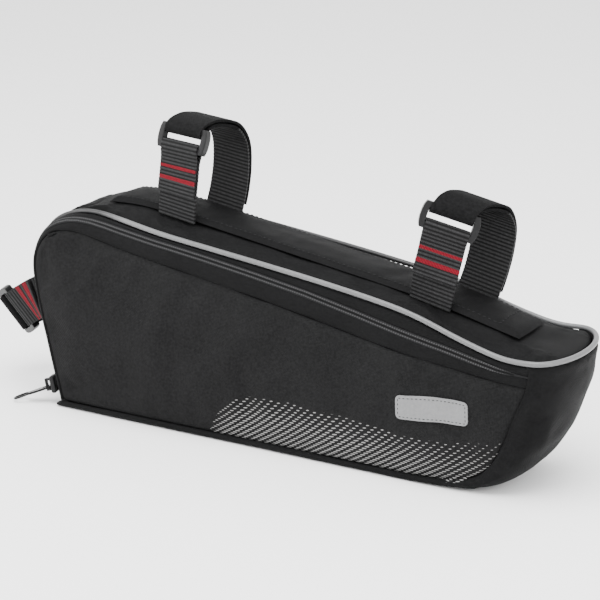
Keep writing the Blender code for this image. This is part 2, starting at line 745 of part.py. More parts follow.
def slider_frame():
    """Place and axes of the zip slider: out of the cloth, along the zip and across it."""
    left_end = range(CORNER_STATION * EDGE_STEPS, len(EDGE_LINE.seam))
    low = max(k for k in left_end if EDGE_LINE.seam[k][1] > SLIDER_HEIGHT)
    pair = []
    for i in (low, low + 1):
        _, zipper, _ = zip_section(i)
        pair.append(EDGE_LINE.point(i, zipper[0], zipper[1]))
    along = (pair[0] - pair[1]).normalized()
    place = pair[1] + along * ((SLIDER_HEIGHT - pair[1].z) / along.z)
    out = -zip_inwards(low)
    out = (out - along * out.dot(along)).normalized()
    return place, out, along, along.cross(out).normalized()


def axes_matrix(place, x_axis, y_axis, z_axis):
    columns = (x_axis, y_axis, z_axis)
    rows = [[axis[k] for axis in columns] + [place[k]] for k in range(3)]
    return Matrix(rows + [[0, 0, 0, 1]])


def add_box(work, size, middle):
    made = bmesh.ops.create_cube(work, size=1.0)
    bmesh.ops.scale(work, vec=size, verts=made["verts"])
    bmesh.ops.translate(work, vec=middle, verts=made["verts"])


def boxes_mesh(name, boxes):
    mesh = bpy.data.meshes.new(name)
    work = bmesh.new()
    for size, middle in boxes:
        add_box(work, size, middle)
    work.to_mesh(mesh)
    work.free()
    return mesh


def cutter(name, mesh, matrix):
    """A helper for a Boolean, which no render shows."""
    made = bpy.data.objects.new(name, mesh)
    bpy.context.scene.collection.objects.link(made)
    made.hide_render = True
    made.display_type = "WIRE"
    made.matrix_world = matrix
    return made


def add_boolean(target, other, operation):
    step = target.modifiers.new(other.name, "BOOLEAN")
    step.operation = operation
    step.object = other
    step.solver = "EXACT"


def add_slider():
    """The slider's block and its bridge, in axes of across the zip, out of the cloth and along the zip."""
    place, out, along, across = slider_frame()
    seat = place + out * (2 * SEAM_GAP + SLIDER_DEPTH / 2)
    matrix = axes_matrix(seat, across, -out, along)
    block = [((SLIDER_WIDTH, SLIDER_DEPTH, SLIDER_LENGTH), (0, 0, 0))]
    made = add_object("zip_slider", boxes_mesh("zip_slider", block), "plastic")
    made.matrix_world = matrix
    bevel = made.modifiers.new("Edges", "BEVEL")
    bevel.width = SLIDER_BEVEL
    bevel.segments = 1
    rise = SLIDER_DEPTH / 2 + BRIDGE_RISE / 2
    bridge_size = (BRIDGE_WIDTH, BRIDGE_RISE + BRIDGE_SINK, BRIDGE_LENGTH)
    bridge = boxes_mesh("bridge", [(bridge_size, (0, -rise + BRIDGE_SINK / 2, 0))])
    add_boolean(made, cutter("bridge", bridge, matrix), "UNION")
    window = (BRIDGE_WIDTH * 2, BRIDGE_RISE - BRIDGE_BAR, BRIDGE_LENGTH - 2 * BRIDGE_BAR)
    middle = (0, -SLIDER_DEPTH / 2 - window[1] / 2, 0)
    opening = cutter("bridge_window", boxes_mesh("bridge_window", [(window, middle)]), matrix)
    add_boolean(made, opening, "DIFFERENCE")
    return matrix, window, middle


def pull_pose(matrix, window, middle):
    """The pull's axes: along its hinge, out of its face and down its length."""
    hinge = matrix @ Vector((0, middle[1], -window[2] / 2 + PULL_WIRE / 2 + PULL_PLAY))
    out = -(matrix.to_3x3() @ Vector((0, 1, 0)))
    across = matrix.to_3x3() @ Vector((1, 0, 0))
    flat_out = Vector((out.x, out.y, 0)).normalized()
    way = (flat_out * cos(PULL_DIP) - Vector((0, 0, sin(PULL_DIP)))).normalized()
    hinge_axis = (across - way * across.dot(way)).normalized()
    return axes_matrix(hinge, hinge_axis, way.cross(hinge_axis).normalized(), way)


def pull_tab_mesh():
    """The flat plate of the pull, from its end wire to the ring."""
    half = PULL_WIDTH / 2
    shoulder = PULL_EYE + PULL_TAB * PULL_SHOULDER
    tip = PULL_EYE + PULL_TAB
    mesh = bpy.data.meshes.new("zip_pull")
    work = bmesh.new()
    outline = [
        (-half, -PULL_WIRE / 2), (half, -PULL_WIRE / 2), (half, shoulder),
        (half * PULL_TIP, tip), (-half * PULL_TIP, tip), (-half, shoulder),
    ]
    body = [work.verts.new((x, -PULL_WIRE / 2, y)) for x, y in outline]
    face_ring = work.faces.new(body)
    moved = bmesh.ops.extrude_face_region(work, geom=[face_ring])
    shift = [item for item in moved["geom"] if isinstance(item, bmesh.types.BMVert)]
    bmesh.ops.translate(work, vec=(0, PULL_WIRE, 0), verts=shift)
    bmesh.ops.recalc_face_normals(work, faces=work.faces)
    work.to_mesh(mesh)
    work.free()
    return mesh


def pull_ring_mesh():
    """The oval wire ring at the end of the pull."""
    mesh = bpy.data.meshes.new("pull_ring")
    work = bmesh.new()
    turns, sides = 16, 6
    middle = PULL_EYE + PULL_TAB + PULL_RING / 2 - PULL_RING_SINK
    rows = []
    for k in range(turns):
        a = 2 * pi * k / turns
        row = []
        for m in range(sides):
            b = 2 * pi * m / sides
            swell = PULL_WIRE / 2 * cos(b)
            x = (PULL_RING_HALF + swell) * sin(a)
            y = middle + (PULL_RING / 2 + swell) * cos(a)
            row.append(work.verts.new((x, PULL_WIRE / 2 * sin(b), y)))
        rows.append(row)
    for k in range(turns):
        for m in range(sides):
            n = (m + 1) % sides
            after = rows[(k + 1) % turns]
            work.faces.new((rows[k][m], after[m], after[n], rows[k][n]))
    bmesh.ops.recalc_face_normals(work, faces=work.faces)
    work.to_mesh(mesh)
    work.free()
    return mesh


def add_pull(pose):
    """The pull: an eye whose end wire runs through the bridge, a flat tab and an oval ring, in one plane."""
    made = add_object("zip_pull", pull_tab_mesh(), "plastic")
    made.matrix_world = pose
    hole = (PULL_WIDTH - 2 * PULL_WIRE, PULL_WIRE * 3, PULL_EYE - PULL_WIRE / 2)
    hole_middle = (0, 0, (PULL_EYE + PULL_WIRE / 2) / 2)
    eye = cutter("pull_eye", boxes_mesh("pull_eye", [(hole, hole_middle)]), pose)
    add_boolean(made, eye, "DIFFERENCE")
    add_boolean(made, cutter("pull_ring", pull_ring_mesh(), pose), "UNION")


def build():
    clear_scene()
    inwards = [zip_inwards(i) for i in range(len(EDGE_LINE.seam))]
    down = [Vector((-way[0], 0.0, -way[1])) for way in EDGE_LINE.normal]
    for name, side in (("near_side_panel", -1), ("far_side_panel", 1)):
        outer = side_grid(side)
        sheet(name, outer, shifted(outer, [Vector((0, -side, 0))] * len(outer), WALL), "side_cloth")
    outer = band_grid(True)
    inner = [
        [point + lower_band_inwards(i, k / (len(row) - 1)) * BAND_WALL for k, point in enumerate(row)]
        for i, row in enumerate(outer)
    ]
    sheet("lower_zip_band", outer, inner, "black_cloth")
    outer = band_grid(False)
    sheet("upper_zip_band", outer, shifted(outer, inwards, BAND_WALL), "black_cloth")
    sheet("zip_tape", tape_grid(), shifted(tape_grid(), inwards, TAPE_WALL), "zip")
    sheet("top_panel", top_grid(), shifted(top_grid(), down, WALL), "black_cloth")
    sheet("nose_and_base_panel", nose_and_base_grid(0.0), nose_and_base_grid(WALL), "black_cloth")
    sheet("top_pad", pad_grid(SEAM_GAP + PAD_WALL), pad_grid(SEAM_GAP), "black_cloth")
    sheet("side_patch", patch_grid(SEAM_GAP + PATCH_WALL), patch_grid(SEAM_GAP), "reflective")
    add_tube("piping", piping_line(), PIPING_RADIUS, "reflective")
    for loop in LOOPS:
        add_loop(loop)
    add_pull(pull_pose(*add_slider()))


build()
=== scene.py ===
"""A bicycle frame bag: a padded cloth wedge with a zip along its upper edge and three webbing loops."""
import json
from itertools import permutations
from math import cos, pi, radians, sin

import bmesh
import bpy
import numpy as np
from mathutils import Matrix, Vector, noise

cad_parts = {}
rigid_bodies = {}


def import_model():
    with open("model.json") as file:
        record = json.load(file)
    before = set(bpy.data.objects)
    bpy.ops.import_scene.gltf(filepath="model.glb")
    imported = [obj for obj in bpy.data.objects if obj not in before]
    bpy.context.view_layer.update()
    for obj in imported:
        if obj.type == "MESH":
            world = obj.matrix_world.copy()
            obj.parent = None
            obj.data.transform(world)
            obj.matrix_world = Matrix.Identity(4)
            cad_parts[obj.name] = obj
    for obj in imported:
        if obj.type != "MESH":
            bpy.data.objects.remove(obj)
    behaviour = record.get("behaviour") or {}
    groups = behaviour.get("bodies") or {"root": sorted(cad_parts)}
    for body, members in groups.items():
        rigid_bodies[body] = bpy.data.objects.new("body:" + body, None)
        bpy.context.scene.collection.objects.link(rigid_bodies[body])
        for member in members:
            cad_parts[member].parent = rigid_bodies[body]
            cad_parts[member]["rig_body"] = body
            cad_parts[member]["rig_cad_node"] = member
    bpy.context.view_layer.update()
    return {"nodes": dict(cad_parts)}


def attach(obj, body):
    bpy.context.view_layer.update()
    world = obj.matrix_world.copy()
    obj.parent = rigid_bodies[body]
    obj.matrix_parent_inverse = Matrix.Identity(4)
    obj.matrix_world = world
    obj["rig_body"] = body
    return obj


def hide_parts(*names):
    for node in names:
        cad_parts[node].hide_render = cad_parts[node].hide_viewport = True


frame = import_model()

# The photographer's table: a pale floor that runs on behind the bag, a broad soft light over it, a long
# lens a metre away and a little above the bag's top.
bpy.ops.object.select_all(action="DESELECT")
bpy.ops.mesh.primitive_plane_add(size=6, location=(0, 0, 0))
floor = bpy.context.object
floor.name = "studio_floor"
floor_paint = bpy.data.materials.new("pale_floor")
floor_paint.use_nodes = True
floor_paint.node_tree.nodes["Principled BSDF"].inputs["Base Color"].default_value = (0.94, 0.94, 0.94, 1)
floor_paint.node_tree.nodes["Principled BSDF"].inputs["Roughness"].default_value = 0.7
floor.data.materials.append(floor_paint)

sky = bpy.data.worlds.new("studio")
sky.use_nodes = True
sky.node_tree.nodes["Background"].inputs["Color"].default_value = (1.0, 1.0, 1.0, 1)
sky.node_tree.nodes["Background"].inputs["Strength"].default_value = 2.1
bpy.context.scene.world = sky

for name, place, size, power in (
    ("softbox_over", (0.10, -0.25, 1.00), 0.8, 20.0),
    ("softbox_left", (-0.85, -0.60, 0.60), 0.5, 9.0),
    ("softbox_right", (0.95, -0.30, 0.50), 0.5, 5.5),
):
    lamp = bpy.data.lights.new(name, "AREA")
    lamp.size = size
    lamp.energy = power
    softbox = bpy.data.objects.new(name, lamp)
    softbox.location = place
    aim = Vector((0.0, 0.0, 0.05)) - softbox.location
    softbox.rotation_euler = aim.to_track_quat("-Z", "Y").to_euler()
    bpy.context.scene.collection.objects.link(softbox)

lens = bpy.data.cameras.new("camera")
lens.lens = 120
lens.sensor_width = 36
camera = bpy.data.objects.new("camera", lens)
bpy.context.scene.collection.objects.link(camera)
# The photo's viewing angle: turned to the right, tilted down, and rolled by a hair.
turn, tilt, roll = radians(31.27), radians(17.53), 0.0137
back = Vector((sin(turn) * cos(tilt), -cos(turn) * cos(tilt), sin(tilt)))
level = Vector((cos(turn), sin(turn), 0))
upright = back.cross(level)
right = level * cos(roll) - upright * sin(roll)
up = upright * cos(roll) + level * sin(roll)
pose = Matrix((right, up, back)).transposed().to_4x4()
pose.translation = (0.4595, -0.744, 0.340)
camera.matrix_world = pose
bpy.context.scene.camera = camera


# The cloth: a plain weave of thick polyester yarn with a coating behind it. The same weave in two colours
# makes the heathered side panels and the black panels, so the yarns, the specks and the dust are made once,
# as two groups.
def group(name, inputs, outputs):
    """A shader node group with these sockets, and its two ends."""
    made = bpy.data.node_groups.new(name, "ShaderNodeTree")
    for label, kind, value in inputs:
        socket = made.interface.new_socket(name=label, in_out="INPUT", socket_type=kind)
        if value is not None:
            socket.default_value = value
    for label, kind in outputs:
        made.interface.new_socket(name=label, in_out="OUTPUT", socket_type=kind)
    return made, made.nodes.new("NodeGroupInput"), made.nodes.new("NodeGroupOutput")


def maths(tree, operation, first, second=None, clamp=False):
    """One Math node. first and second are sockets or numbers."""
    node = tree.nodes.new("ShaderNodeMath")
    node.operation = operation
    node.use_clamp = clamp
    for k, value in enumerate((first, second)):
        if value is None:
            continue
        if isinstance(value, (int, float)):
            node.inputs[k].default_value = value
        else:
            tree.links.new(value, node.inputs[k])
    return node.outputs[0]


def mixed(tree, share, first, second):
    """One colour Mix node. share, first and second are sockets, numbers or colours."""
    node = tree.nodes.new("ShaderNodeMix")
    node.data_type = "RGBA"
    for socket, value in ((node.inputs[0], share), (node.inputs[6], first), (node.inputs[7], second)):
        if isinstance(value, bpy.types.NodeSocket):
            tree.links.new(value, socket)
        else:
            socket.default_value = value if isinstance(value, (int, float)) else (*value[:3], 1)
    return node.outputs[2]


weave, inside, outside = group(
    "yarn_weave",
    [("Vector", "NodeSocketVector", None), ("Yarns per metre", "NodeSocketFloat", 1500.0)],
    [("Height", "NodeSocketFloat"), ("Over", "NodeSocketFloat")],
)
split = weave.nodes.new("ShaderNodeSeparateXYZ")
weave.links.new(inside.outputs["Vector"], split.inputs[0])
ways = []
for k in (0, 1):
    along = maths(weave, "MULTIPLY", split.outputs[k], inside.outputs["Yarns per metre"])
    crest = maths(weave, "ABSOLUTE", maths(weave, "SINE", maths(weave, "MULTIPLY", along, pi)))
    ways.append((maths(weave, "FLOOR", along), crest))
over = maths(weave, "FLOORED_MODULO", maths(weave, "ADD", ways[0][0], ways[1][0]), 2.0)
under = maths(weave, "SUBTRACT", 1.0, over)
height = maths(
    weave, "ADD", maths(weave, "MULTIPLY", over, ways[0][1]), maths(weave, "MULTIPLY", under, ways[1][1])
)
weave.links.new(height, outside.inputs["Height"])
weave.links.new(over, outside.inputs["Over"])

specks, inside, outside = group(
    "specks_and_dust",
    [
        ("Colour", "NodeSocketColor", (0.04, 0.04, 0.04, 1)),
        ("Speck", "NodeSocketFloat", 0.35),
        ("Speck size", "NodeSocketFloat", 0.0012),
        ("Dust", "NodeSocketFloat", 0.10),
    ],
    [("Colour", "NodeSocketColor"), ("Patch", "NodeSocketFloat")],
)
place = specks.nodes.new("ShaderNodeTexCoord")
fine = specks.nodes.new("ShaderNodeTexNoise")
fine.inputs["Detail"].default_value = 3.0
specks.links.new(place.outputs["Object"], fine.inputs["Vector"])
specks.links.new(maths(specks, "DIVIDE", 1.0, inside.outputs["Speck size"]), fine.inputs["Scale"])
broad = specks.nodes.new("ShaderNodeTexNoise")
broad.inputs["Scale"].default_value = 28.0
broad.inputs["Detail"].default_value = 4.0
specks.links.new(place.outputs["Object"], broad.inputs["Vector"])
fine_swing = maths(specks, "MULTIPLY", maths(specks, "SUBTRACT", fine.outputs["Fac"], 0.5), 4.0)
fine_swing = maths(specks, "MULTIPLY", fine_swing, inside.outputs["Speck"])
broad_swing = maths(specks, "MULTIPLY", maths(specks, "SUBTRACT", broad.outputs["Fac"], 0.5), 3.0)
broad_swing = maths(specks, "MULTIPLY", broad_swing, inside.outputs["Dust"])
factor = maths(specks, "ADD", maths(specks, "ADD", 1.0, fine_swing), broad_swing)
scaled = specks.nodes.new("ShaderNodeVectorMath")
scaled.operation = "SCALE"
specks.links.new(inside.outputs["Colour"], scaled.inputs[0])
specks.links.new(factor, scaled.inputs["Scale"])
specks.links.new(scaled.outputs[0], outside.inputs["Colour"])
specks.links.new(broad.outputs["Fac"], outside.inputs["Patch"])


def cloth_material(name, colour, roughness, yarns, depth, speck, dust, sheen, gloss=0.09):
    """A woven cloth on the piece's own UV map, which is in metres.

    Returns it with its tree, its shader and its colour.
    """
    made = bpy.data.materials.new(name)
    made.use_nodes = True
    tree = made.node_tree
    shader = tree.nodes["Principled BSDF"]
    shader.inputs["Roughness"].default_value = roughness
    shader.inputs["Sheen Weight"].default_value = sheen
    shader.inputs["Sheen Roughness"].default_value = 0.45
    shader.inputs["Specular IOR Level"].default_value = gloss
    uv = tree.nodes.new("ShaderNodeUVMap")
    threads = tree.nodes.new("ShaderNodeGroup")
    threads.node_tree = weave
    threads.inputs["Yarns per metre"].default_value = yarns
    tree.links.new(uv.outputs[0], threads.inputs["Vector"])
    flecks = tree.nodes.new("ShaderNodeGroup")
    flecks.node_tree = specks
    flecks.inputs["Colour"].default_value = (*colour, 1)
    flecks.inputs["Speck"].default_value = speck
    flecks.inputs["Dust"].default_value = dust
    # Painted light and shade in the weave: the colour is made lighter on the yarns' crests and darker in the
    # hollows between them.
    crown = maths(tree, "MULTIPLY", threads.outputs["Height"], 1.0, True)
    weave_light_and_shade = mixed(tree, crown, (0.30,) * 3, (1.25,) * 3)
    lit = tree.nodes.new("ShaderNodeMix")
    lit.data_type = "RGBA"
    lit.blend_type = "MULTIPLY"
    lit.inputs[0].default_value = 0.75
    tree.links.new(flecks.outputs["Colour"], lit.inputs[6])
    tree.links.new(weave_light_and_shade, lit.inputs[7])
    tree.links.new(lit.outputs[2], shader.inputs["Base Color"])
    bump = tree.nodes.new("ShaderNodeBump")
    bump.inputs["Distance"].default_value = depth
    bump.inputs["Strength"].default_value = 0.6
    tree.links.new(threads.outputs["Height"], bump.inputs["Height"])
    tree.links.new(bump.outputs[0], shader.inputs["Normal"])
    return made, tree, shader, lit.outputs[2]


# The side panels: dark grey heathered cloth over a thin foam, cut to the wedge's outline and sewn all
# round, so they swell between their seams and pucker a little along them.
def select_only(piece):
    bpy.ops.object.select_all(action="DESELECT")
    piece.select_set(True)
    bpy.context.view_layer.objects.active = piece


def apply_modifier(piece, kind, **values):
    """Adds a modifier to the piece and applies it."""
    step = piece.modifiers.new(kind.title(), kind)
    for key, value in values.items():
        setattr(step, key, value)
    select_only(piece)
    bpy.ops.object.modifier_apply(modifier=step.name)


# Points of a CAD mesh that lie closer than this are one point.
TOUCHING = 0.00002


def outer_cloth(name, node, seed_way):
    """The outer face of a sewn panel: the sheet's copy, merged, with only the faces round the seed kept.

    seed_way points at the face that is furthest along it.
    """
    select_only(frame["nodes"][node])
    bpy.ops.object.duplicate()
    cut = bpy.context.object
    cut.name = name
    cut.parent = None
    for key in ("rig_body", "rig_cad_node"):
        if key in cut:
            del cut[key]
    bpy.ops.object.mode_set(mode="EDIT")
    bpy.ops.mesh.select_all(action="SELECT")
    bpy.ops.mesh.remove_doubles(threshold=TOUCHING)
    bpy.ops.mesh.tris_convert_to_quads(face_threshold=radians(35), shape_threshold=radians(60))
    bpy.ops.mesh.select_all(action="DESELECT")
    work = bmesh.from_edit_mesh(cut.data)
    work.faces.ensure_lookup_table()
    way = Vector(seed_way)
    seed = max(work.faces, key=lambda face: face.calc_center_median().dot(way) + face.normal.dot(way) * 0.01)
    kept, edge_faces = {seed}, [seed]
    while edge_faces:
        face = edge_faces.pop()
        for edge in face.edges:
            if len(edge.link_faces) != 2 or edge.calc_face_angle(0) > radians(48):
                continue
            for other in edge.link_faces:
                if other not in kept:
                    kept.add(other)
                    edge_faces.append(other)
    for face in work.faces:
        face.select_set(face not in kept)
    bmesh.update_edit_mesh(cut.data)
    bpy.ops.mesh.delete(type="FACE")
    bpy.ops.object.mode_set(mode="OBJECT")
    cut.data.materials.clear()
    return cut


def rim_of(mesh):
    """The indices of the mesh's open edge's vertices."""
    counts = np.zeros(len(mesh.edges), int)
    loop_edges = np.zeros(len(mesh.loops), int)
    mesh.loops.foreach_get("edge_index", loop_edges)
    np.add.at(counts, loop_edges, 1)
    return {v for edge in mesh.edges if counts[edge.index] == 1 for v in edge.vertices}


def places(mesh):
    flat = np.zeros(len(mesh.vertices) * 3)
    mesh.vertices.foreach_get("co", flat)
    return flat.reshape(-1, 3)


def swell(piece, held, growth, push, cap, frames=18):
    """Lets the cloth settle, a little larger than its outline and pushed from inside, with held vertices kept.

    The push is in newtons over the cloth's own small mass, and no vertex moves further than cap.
    """
    scene = bpy.context.scene
    before = places(piece.data)
    pins = piece.vertex_groups.new(name="sewn")
    pins.add(sorted(held), 1.0, "REPLACE")
    step = piece.modifiers.new("Settle", "CLOTH")
    step.settings.quality = 6
    step.settings.mass = 0.15
    step.settings.tension_stiffness = 12
    step.settings.compression_stiffness = 12
    step.settings.shear_stiffness = 5
    step.settings.bending_stiffness = 0.6
    step.settings.shrink_min = -growth
    step.settings.use_pressure = True
    step.settings.uniform_pressure_force = push
    step.settings.vertex_group_mass = "sewn"
    step.settings.effector_weights.gravity = 0.0
    step.point_cache.frame_end = frames
    for number in range(1, frames + 1):
        scene.frame_set(number)
    settled = piece.evaluated_get(bpy.context.evaluated_depsgraph_get())
    after = places(settled.data)
    moved = after - before
    length = np.linalg.norm(moved, axis=1)[:, None]
    after = before + moved * np.minimum(1.0, cap / np.maximum(length, 1e-9))
    piece.modifiers.remove(step)
    piece.vertex_groups.remove(pins)
    piece.data.vertices.foreach_set("co", after.ravel())
    piece.data.update()
    scene.frame_set(1)


def tuck_rim(piece, depth, spread):
    """Rolls the open edge in by depth, easing off over spread, as a sewn edge turns in to its seam."""
    spots = places(piece.data)
    normals = np.zeros_like(spots).ravel()
    piece.data.vertices.foreach_get("normal", normals)
    normals = normals.reshape(-1, 3)
    rim = spots[sorted(rim_of(piece.data))]
    away = np.array([np.sqrt(((rim - spot) ** 2).sum(1).min()) for spot in spots])
    share = np.clip(1 - away / spread, 0, 1) ** 2
    piece.data.vertices.foreach_set("co", (spots - normals * (share * depth)[:, None]).ravel())
    piece.data.update()


def ripple(piece, height, length, seed, folds=()):
    """Soft creases: the cloth rides up and down by height over about length, and not at its seams.

    Each fold is its start, end, half width and height, a ridge where positive and a valley where not.
    """
    spots = places(piece.data)
    normals = np.zeros_like(spots).ravel()
    piece.data.vertices.foreach_get("normal", normals)
    rim = spots[sorted(rim_of(piece.data))]
    away = np.array([np.sqrt(((rim - spot) ** 2).sum(1).min()) for spot in spots])
    shift = Vector((seed * 7.3, seed * 3.1, seed * 5.7))
    swing = np.array([noise.noise(Vector(spot) / length + shift) for spot in spots]) * height
    swing += np.array([noise.noise(Vector(spot) / length * 2.7 - shift) for spot in spots]) * height * 0.35
    for start, end, half_width, rise in folds:
        start, run = np.array(start), np.array(end) - np.array(start)
        share = np.clip((spots - start) @ run / (run @ run), 0, 1)
        gap = np.linalg.norm(spots - start - share[:, None] * run, axis=1) / half_width
        fade = np.sin(np.pi * np.clip(share * 0.9 + 0.05, 0, 1)) ** 0.5
        swing += rise * fade * (np.exp(-gap**2) - 0.35 * np.exp(-((gap - 2.0) ** 2)))
    swing *= np.clip(away / 0.006, 0, 1)
    spots += normals.reshape(-1, 3) * swing[:, None]
    piece.data.vertices.foreach_set("co", spots.ravel())
    piece.data.update()


seam_cord = frame["nodes"]["piping"]
piping_spots = np.array([seam_cord.matrix_world @ vert.co for vert in seam_cord.data.vertices])
# An edge that runs closer to the piping than this is sewn to it.
SEWN_TO_PIPING = 0.0025


def turn_hem(piece, reach, depth, under_piping=0.0):
    """Turns the cut edge under: a lip that runs on past the seam by reach and down behind it by depth.

    Where the edge meets the piping, the lip runs on by under_piping instead.
    """
    select_only(piece)
    bpy.ops.object.mode_set(mode="EDIT")
    work = bmesh.from_edit_mesh(piece.data)
    work.normal_update()
    rim = [edge for edge in work.edges if edge.is_boundary]
    ways = {}
    for vert in {vert for edge in rim for vert in edge.verts}:
        inner = [edge.other_vert(vert).co for edge in vert.link_edges if not edge.is_boundary]
        if not inner:
            inner = [face.calc_center_median() for face in vert.link_faces]
        away = vert.co - sum(inner, Vector()) / len(inner)
        ways[vert] = ((away - vert.normal * away.dot(vert.normal)).normalized(), vert.normal.copy())
    for _ in range(3):
        evened = {}
        for vert, way in ways.items():
            beside = [ways[edge.other_vert(vert)] for edge in vert.link_edges if edge.is_boundary]
            evened[vert] = tuple(sum((other[k] for other in beside), way[k]).normalized() for k in (0, 1))
        ways = evened
    moves = {}
    for vert, (away, normal) in ways.items():
        to_piping = np.sqrt(((piping_spots - np.array(vert.co)) ** 2).sum(1).min())
        length = under_piping if under_piping and to_piping < SEWN_TO_PIPING else reach
        moves[vert.co.copy().freeze()] = (away * length, -normal * depth)
    for out_share, down_share in ((0.7, 0.3), (0.3, 0.7)):
        made = bmesh.ops.extrude_edge_only(work, edges=rim)["geom"]
        rim = [item for item in made if isinstance(item, bmesh.types.BMEdge)]
        shifted = {}
        for vert in (item for item in made if isinstance(item, bmesh.types.BMVert)):
            steps = moves[vert.co.copy().freeze()]
            vert.co += steps[0] * out_share + steps[1] * down_share
            shifted[vert.co.copy().freeze()] = steps
        moves = shifted
    bmesh.update_edit_mesh(piece.data)
    bpy.ops.object.mode_set(mode="OBJECT")


def relax(piece, middle, reach, repeat=20):
    """Evens out the cloth's mesh round a corner of its pattern, away from the seam."""
    rim = rim_of(piece.data)
    select_only(piece)
    bpy.ops.object.mode_set(mode="EDIT")
    bpy.ops.mesh.select_all(action="DESELECT")
    work = bmesh.from_edit_mesh(piece.data)
    for vert in work.verts:
        vert.select_set(vert.index not in rim and (vert.co - Vector(middle)).length < reach)
    bmesh.update_edit_mesh(piece.data)
    bpy.ops.mesh.vertices_smooth(factor=0.5, repeat=repeat)
    bpy.ops.object.mode_set(mode="OBJECT")


def metric_uv(piece):
    """A cube-projected UV map in metres, so that a weave keeps its scale on every panel."""
    select_only(piece)
    bpy.ops.object.mode_set(mode="EDIT")
    bpy.ops.mesh.select_all(action="SELECT")
    bpy.ops.uv.cube_project(cube_size=1.0, correct_aspect=False, clip_to_bounds=False, scale_to_bounds=False)
    bpy.ops.object.mode_set(mode="OBJECT")


def finish_cloth(piece, wall, material, *nodes):
    """Gives the cloth its wall, its UV map and its material, and stands it for its nodes."""
    apply_modifier(piece, "SOLIDIFY", thickness=wall, offset=-1.0, use_even_offset=False)
    metric_uv(piece)
    piece.data.materials.append(material)
    select_only(piece)
    bpy.ops.object.shade_smooth_by_angle(angle=radians(50))
    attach(piece, "bag")
    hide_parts(*nodes)


# Colour, roughness, yarns per metre, depth of the weave, specks, dust, sheen and gloss.
HEATHER = ((0.0088, 0.0088, 0.0090), 0.85, 1500.0, 0.00014, 0.34, 0.20, 0.005, 0.055)
SIDE_WALL = 0.0017
side_cloth, *_ = cloth_material("heather_cloth", *HEATHER)
# Over the near panel's foot runs a printed field of silvery dots: full along the base, smaller towards its
# ragged upper edge. print_depth on the mesh says how far under that edge a point lies, in metres.
near_cloth, tree, shader, woven = cloth_material("printed_heather_cloth", *HEATHER)
depth = tree.nodes.new("ShaderNodeAttribute")
depth.attribute_name = "print_depth"
where = tree.nodes.new("ShaderNodeTexCoord")
axes = tree.nodes.new("ShaderNodeSeparateXYZ")
tree.links.new(where.outputs["Object"], axes.inputs[0])
PRINT_TOP = 0.026
FILE_PITCH = 0.0040
FILE_LEAN = 15.0
DOT_PITCH = 0.00162
DOT_CLOSING = 11000.0
FILE_STAGGER = 0.278
drop = maths(tree, "SUBTRACT", PRINT_TOP, axes.outputs["Z"])
drop_squared = maths(tree, "MULTIPLY", drop, drop)
# The dots stand in slanting files, 4 mm apart, which lean over further towards the foot.
more_lean = maths(tree, "MULTIPLY", drop_squared, FILE_LEAN)
leant = maths(tree, "ADD", maths(tree, "ADD", axes.outputs["X"], drop), more_lean)
file_count = maths(tree, "DIVIDE", leant, FILE_PITCH)
# Down each file they come closer and closer together.
closer = maths(tree, "MULTIPLY", drop_squared, DOT_CLOSING)
dot_count = maths(tree, "ADD", maths(tree, "DIVIDE", drop, DOT_PITCH), closer)
stagger = maths(tree, "MULTIPLY", maths(tree, "FLOOR", file_count), FILE_STAGGER)
dot_count = maths(tree, "SUBTRACT", dot_count, stagger)
crosswise = maths(tree, "MULTIPLY", maths(tree, "SUBTRACT", maths(tree, "FRACT", file_count), 0.5), 3.6)
lengthwise = maths(tree, "MULTIPLY", maths(tree, "SUBTRACT", maths(tree, "FRACT", dot_count), 0.5), 3.7)
squares = [maths(tree, "MULTIPLY", way, way) for way in (crosswise, lengthwise)]
away = maths(tree, "SQRT", maths(tree, "ADD", *squares))
size = tree.nodes.new("ShaderNodeMapRange")
for label, value in (("From Min", 0.0), ("From Max", 0.010), ("To Min", 0.70), ("To Max", 1.12)):
    size.inputs[label].default_value = value
tree.links.new(depth.outputs["Fac"], size.inputs["Value"])
to_nose = maths(tree, "MULTIPLY", maths(tree, "SUBTRACT", axes.outputs["X"], 0.080), 9.0, True)
dot_size = maths(tree, "SUBTRACT", size.outputs[0], maths(tree, "MULTIPLY", to_nose, 0.9))
printed = maths(tree, "MULTIPLY", maths(tree, "SUBTRACT", dot_size, away), 5.0, True)
in_field = maths(tree, "MULTIPLY", maths(tree, "ADD", depth.outputs["Fac"], 0.0004), 1800.0, True)
printed = maths(tree, "MULTIPLY", printed, in_field)
tree.links.new(mixed(tree, printed, woven, (0.20, 0.198, 0.194)), shader.inputs["Base Color"])
satin = maths(tree, "SUBTRACT", 0.85, maths(tree, "MULTIPLY", printed, 0.40))
tree.links.new(satin, shader.inputs["Roughness"])

near_panel = outer_cloth("near_side_cloth", "near_side_panel", (0, -1, 0))
apply_modifier(near_panel, "SUBSURF", levels=2, render_levels=2, boundary_smooth="PRESERVE_CORNERS")
swell(near_panel, rim_of(near_panel.data), 0.012, 0.35, 0.0035)
apply_modifier(near_panel, "SUBSURF", levels=1, render_levels=1, boundary_smooth="PRESERVE_CORNERS")
ripple(near_panel, 0.0011, 0.030, 1, (
    ((-0.112, -0.027, 0.010), (-0.088, -0.029, 0.016), 0.0045, -0.0016),
    ((0.030, -0.029, 0.062), (0.044, -0.029, 0.034), 0.006, 0.0007),
    ((0.118, -0.027, 0.040), (0.098, -0.028, 0.024), 0.005, -0.0007),
))
relax(near_panel, (0.100, -0.027, 0.005), 0.020)
tuck_rim(near_panel, 0.0008, 0.0035)
turn_hem(near_panel, 0.0007, 0.0012)
near_panel.data.attributes.new("print_depth", "FLOAT", "POINT")
spots = places(near_panel.data)
